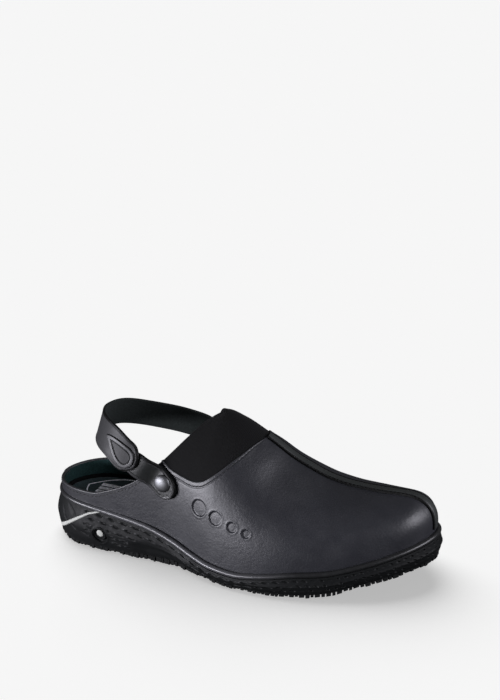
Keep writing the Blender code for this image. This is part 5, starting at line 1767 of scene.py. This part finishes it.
def add_stage():
    mesh = bpy.data.meshes.new("floor")
    corners = [(x * FLOOR_HALF, y * FLOOR_HALF, 0) for x, y in ((-1, -1), (1, -1), (1, 1), (-1, 1))]
    mesh.from_pydata(corners, [], [(0, 1, 2, 3)])
    floor = bpy.data.objects.new("floor", mesh)
    bpy.context.scene.collection.objects.link(floor)
    look = Look("floor", (0.80, 0.80, 0.80), 0.95, Specular_IOR_Level=0.0)
    path = look.node("ShaderNodeLightPath").outputs["Is Camera Ray"]
    look.tint(path, 0, 1, (0.09, 0.09, 0.09), (0.80, 0.80, 0.80))
    look.shader.inputs["Emission Color"].default_value = (1, 1, 1, 1)
    look.link(look.ramp(path, 0, 1, 0.0, FLOOR_GLOW), look.shader.inputs["Emission Strength"])
    mesh.materials.append(look.made)

    world = bpy.data.worlds.new("studio")
    bpy.context.scene.world = world
    world.use_nodes = True
    nodes, links = world.node_tree.nodes, world.node_tree.links
    back = nodes["Background"]
    path = nodes.new("ShaderNodeLightPath")
    pick = nodes.new("ShaderNodeMix")
    pick.data_type = "RGBA"
    links.new(path.outputs["Is Camera Ray"], pick.inputs["Factor"])
    pick.inputs["A"].default_value = (WORLD_DIM, WORLD_DIM, WORLD_DIM, 1)
    pick.inputs["B"].default_value = (WORLD_SEEN, WORLD_SEEN, WORLD_SEEN, 1)
    links.new(pick.outputs["Result"], back.inputs["Color"])

    over_floor = add_sun("floor_sky", (-0.55, 0.55, 1.0), FLOOR_SKY, 62)
    over_shoe = add_sun("shoe_sky", (-0.10, 0.45, 1.0), SHOE_SKY, 110)
    left = add_light("front_left", (-1.45, -1.40, 0.17), (0, 0, 0.05), (1.2, 0.30), FRONT_LEFT)
    right = add_light("front_right", (1.9, -0.10, 0.85), (0.1, 0, 0.05), (1.6, 1.3), FRONT_RIGHT)
    only_floor = bpy.data.collections.new("floor_only")
    only_floor.objects.link(floor)
    over_floor.light_linking.receiver_collection = only_floor
    return over_shoe, left, right


def light_only_shoe(lights):
    """These lights shape the shoe and leave the floor's even tone alone."""
    shoe = bpy.data.collections.new("shoe_only")
    for obj in bpy.context.scene.collection.all_objects:
        if obj.type == "MESH" and obj.name != "floor":
            shoe.objects.link(obj)
    for light in lights:
        light.light_linking.receiver_collection = shoe


def add_sun(name, towards, strength, spread):
    data = bpy.data.lights.new(name, "SUN")
    data.energy, data.angle = strength, math.radians(spread)
    sun = bpy.data.objects.new(name, data)
    sun.rotation_euler = Vector(towards).to_track_quat("Z", "Y").to_euler()
    bpy.context.scene.collection.objects.link(sun)
    return sun


def add_camera():
    data = bpy.data.cameras.new("camera")
    data.sensor_width = SENSOR
    data.lens = FOCAL_PIXELS * SENSOR / PICTURE_HEIGHT
    data.clip_start, data.clip_end = 0.05, 50
    camera = bpy.data.objects.new("camera", data)
    camera.location = EYE
    turn, tilt, roll = (math.radians(a) for a in (TURN, TILT, ROLL))
    back = Vector((math.sin(turn) * math.cos(tilt), -math.cos(turn) * math.cos(tilt), math.sin(tilt)))
    right = Vector((math.cos(turn), math.sin(turn), 0))
    up = back.cross(right)
    right, up = right * math.cos(roll) + up * math.sin(roll), up * math.cos(roll) - right * math.sin(roll)
    camera.rotation_euler = Matrix((right, up, back)).transposed().to_euler()
    bpy.context.scene.collection.objects.link(camera)
    bpy.context.scene.camera = camera


def main():
    bpy.context.scene.view_settings.view_transform = "Standard"
    add_camera()
    lights = add_stage()
    outside = tree_of(make_leather())
    make_lining()
    add_hem(make_gore())
    add_binding()
    add_rim_stitches()
    add_tape(outside)

    curve = strap_curve()
    inner_cap, outer_cap = curve[0][1], curve[0][-2]
    lap = outer_cap - LAP_TO_CAP
    stand = STRAP_WALL + CLEARANCE
    long_one, middles, at = strap_piece(
        "heel_strap", curve, inner_cap - STRAP_WIDTH / 2, lap, (0.0, stand), 330, outside, ("strap_long",))
    short_end = outer_cap + STRAP_WIDTH / 2 + 1.5 * MM
    short_one, short_middles, short_at = strap_piece(
        "snap_strap", curve, lap - LAP_LENGTH, short_end, (0.0, 0.0), 90, outside, ("strap_short",),
        SNAP_FIELD, hidden=LAP_LENGTH - 2 * MM)
    add_drop(middles, at, lap)
    strap_stitches("snap_strap_stitches", short_middles, short_at, lap + 3 * MM, short_end,
                   0.44 * STRAP_WIDTH, DARK_THREAD, "strap_short")
    add_caps((
        ("snap_cap_outer", "cap_outer", OUTER_SEAT[-2], OUTER, tree_of(short_one)),
        ("snap_cap_inner", "cap_inner", INNER_SEAT[1], INNER, tree_of(long_one)),
    ))
    make_side()
    side = tree_of(bpy.data.objects["sole_side"])
    make_tread()
    make_footbed()
    add_label(tree_of(bpy.data.objects["footbed"]))
    add_stripe(side)
    add_button()
    light_only_shoe(lights)


main()
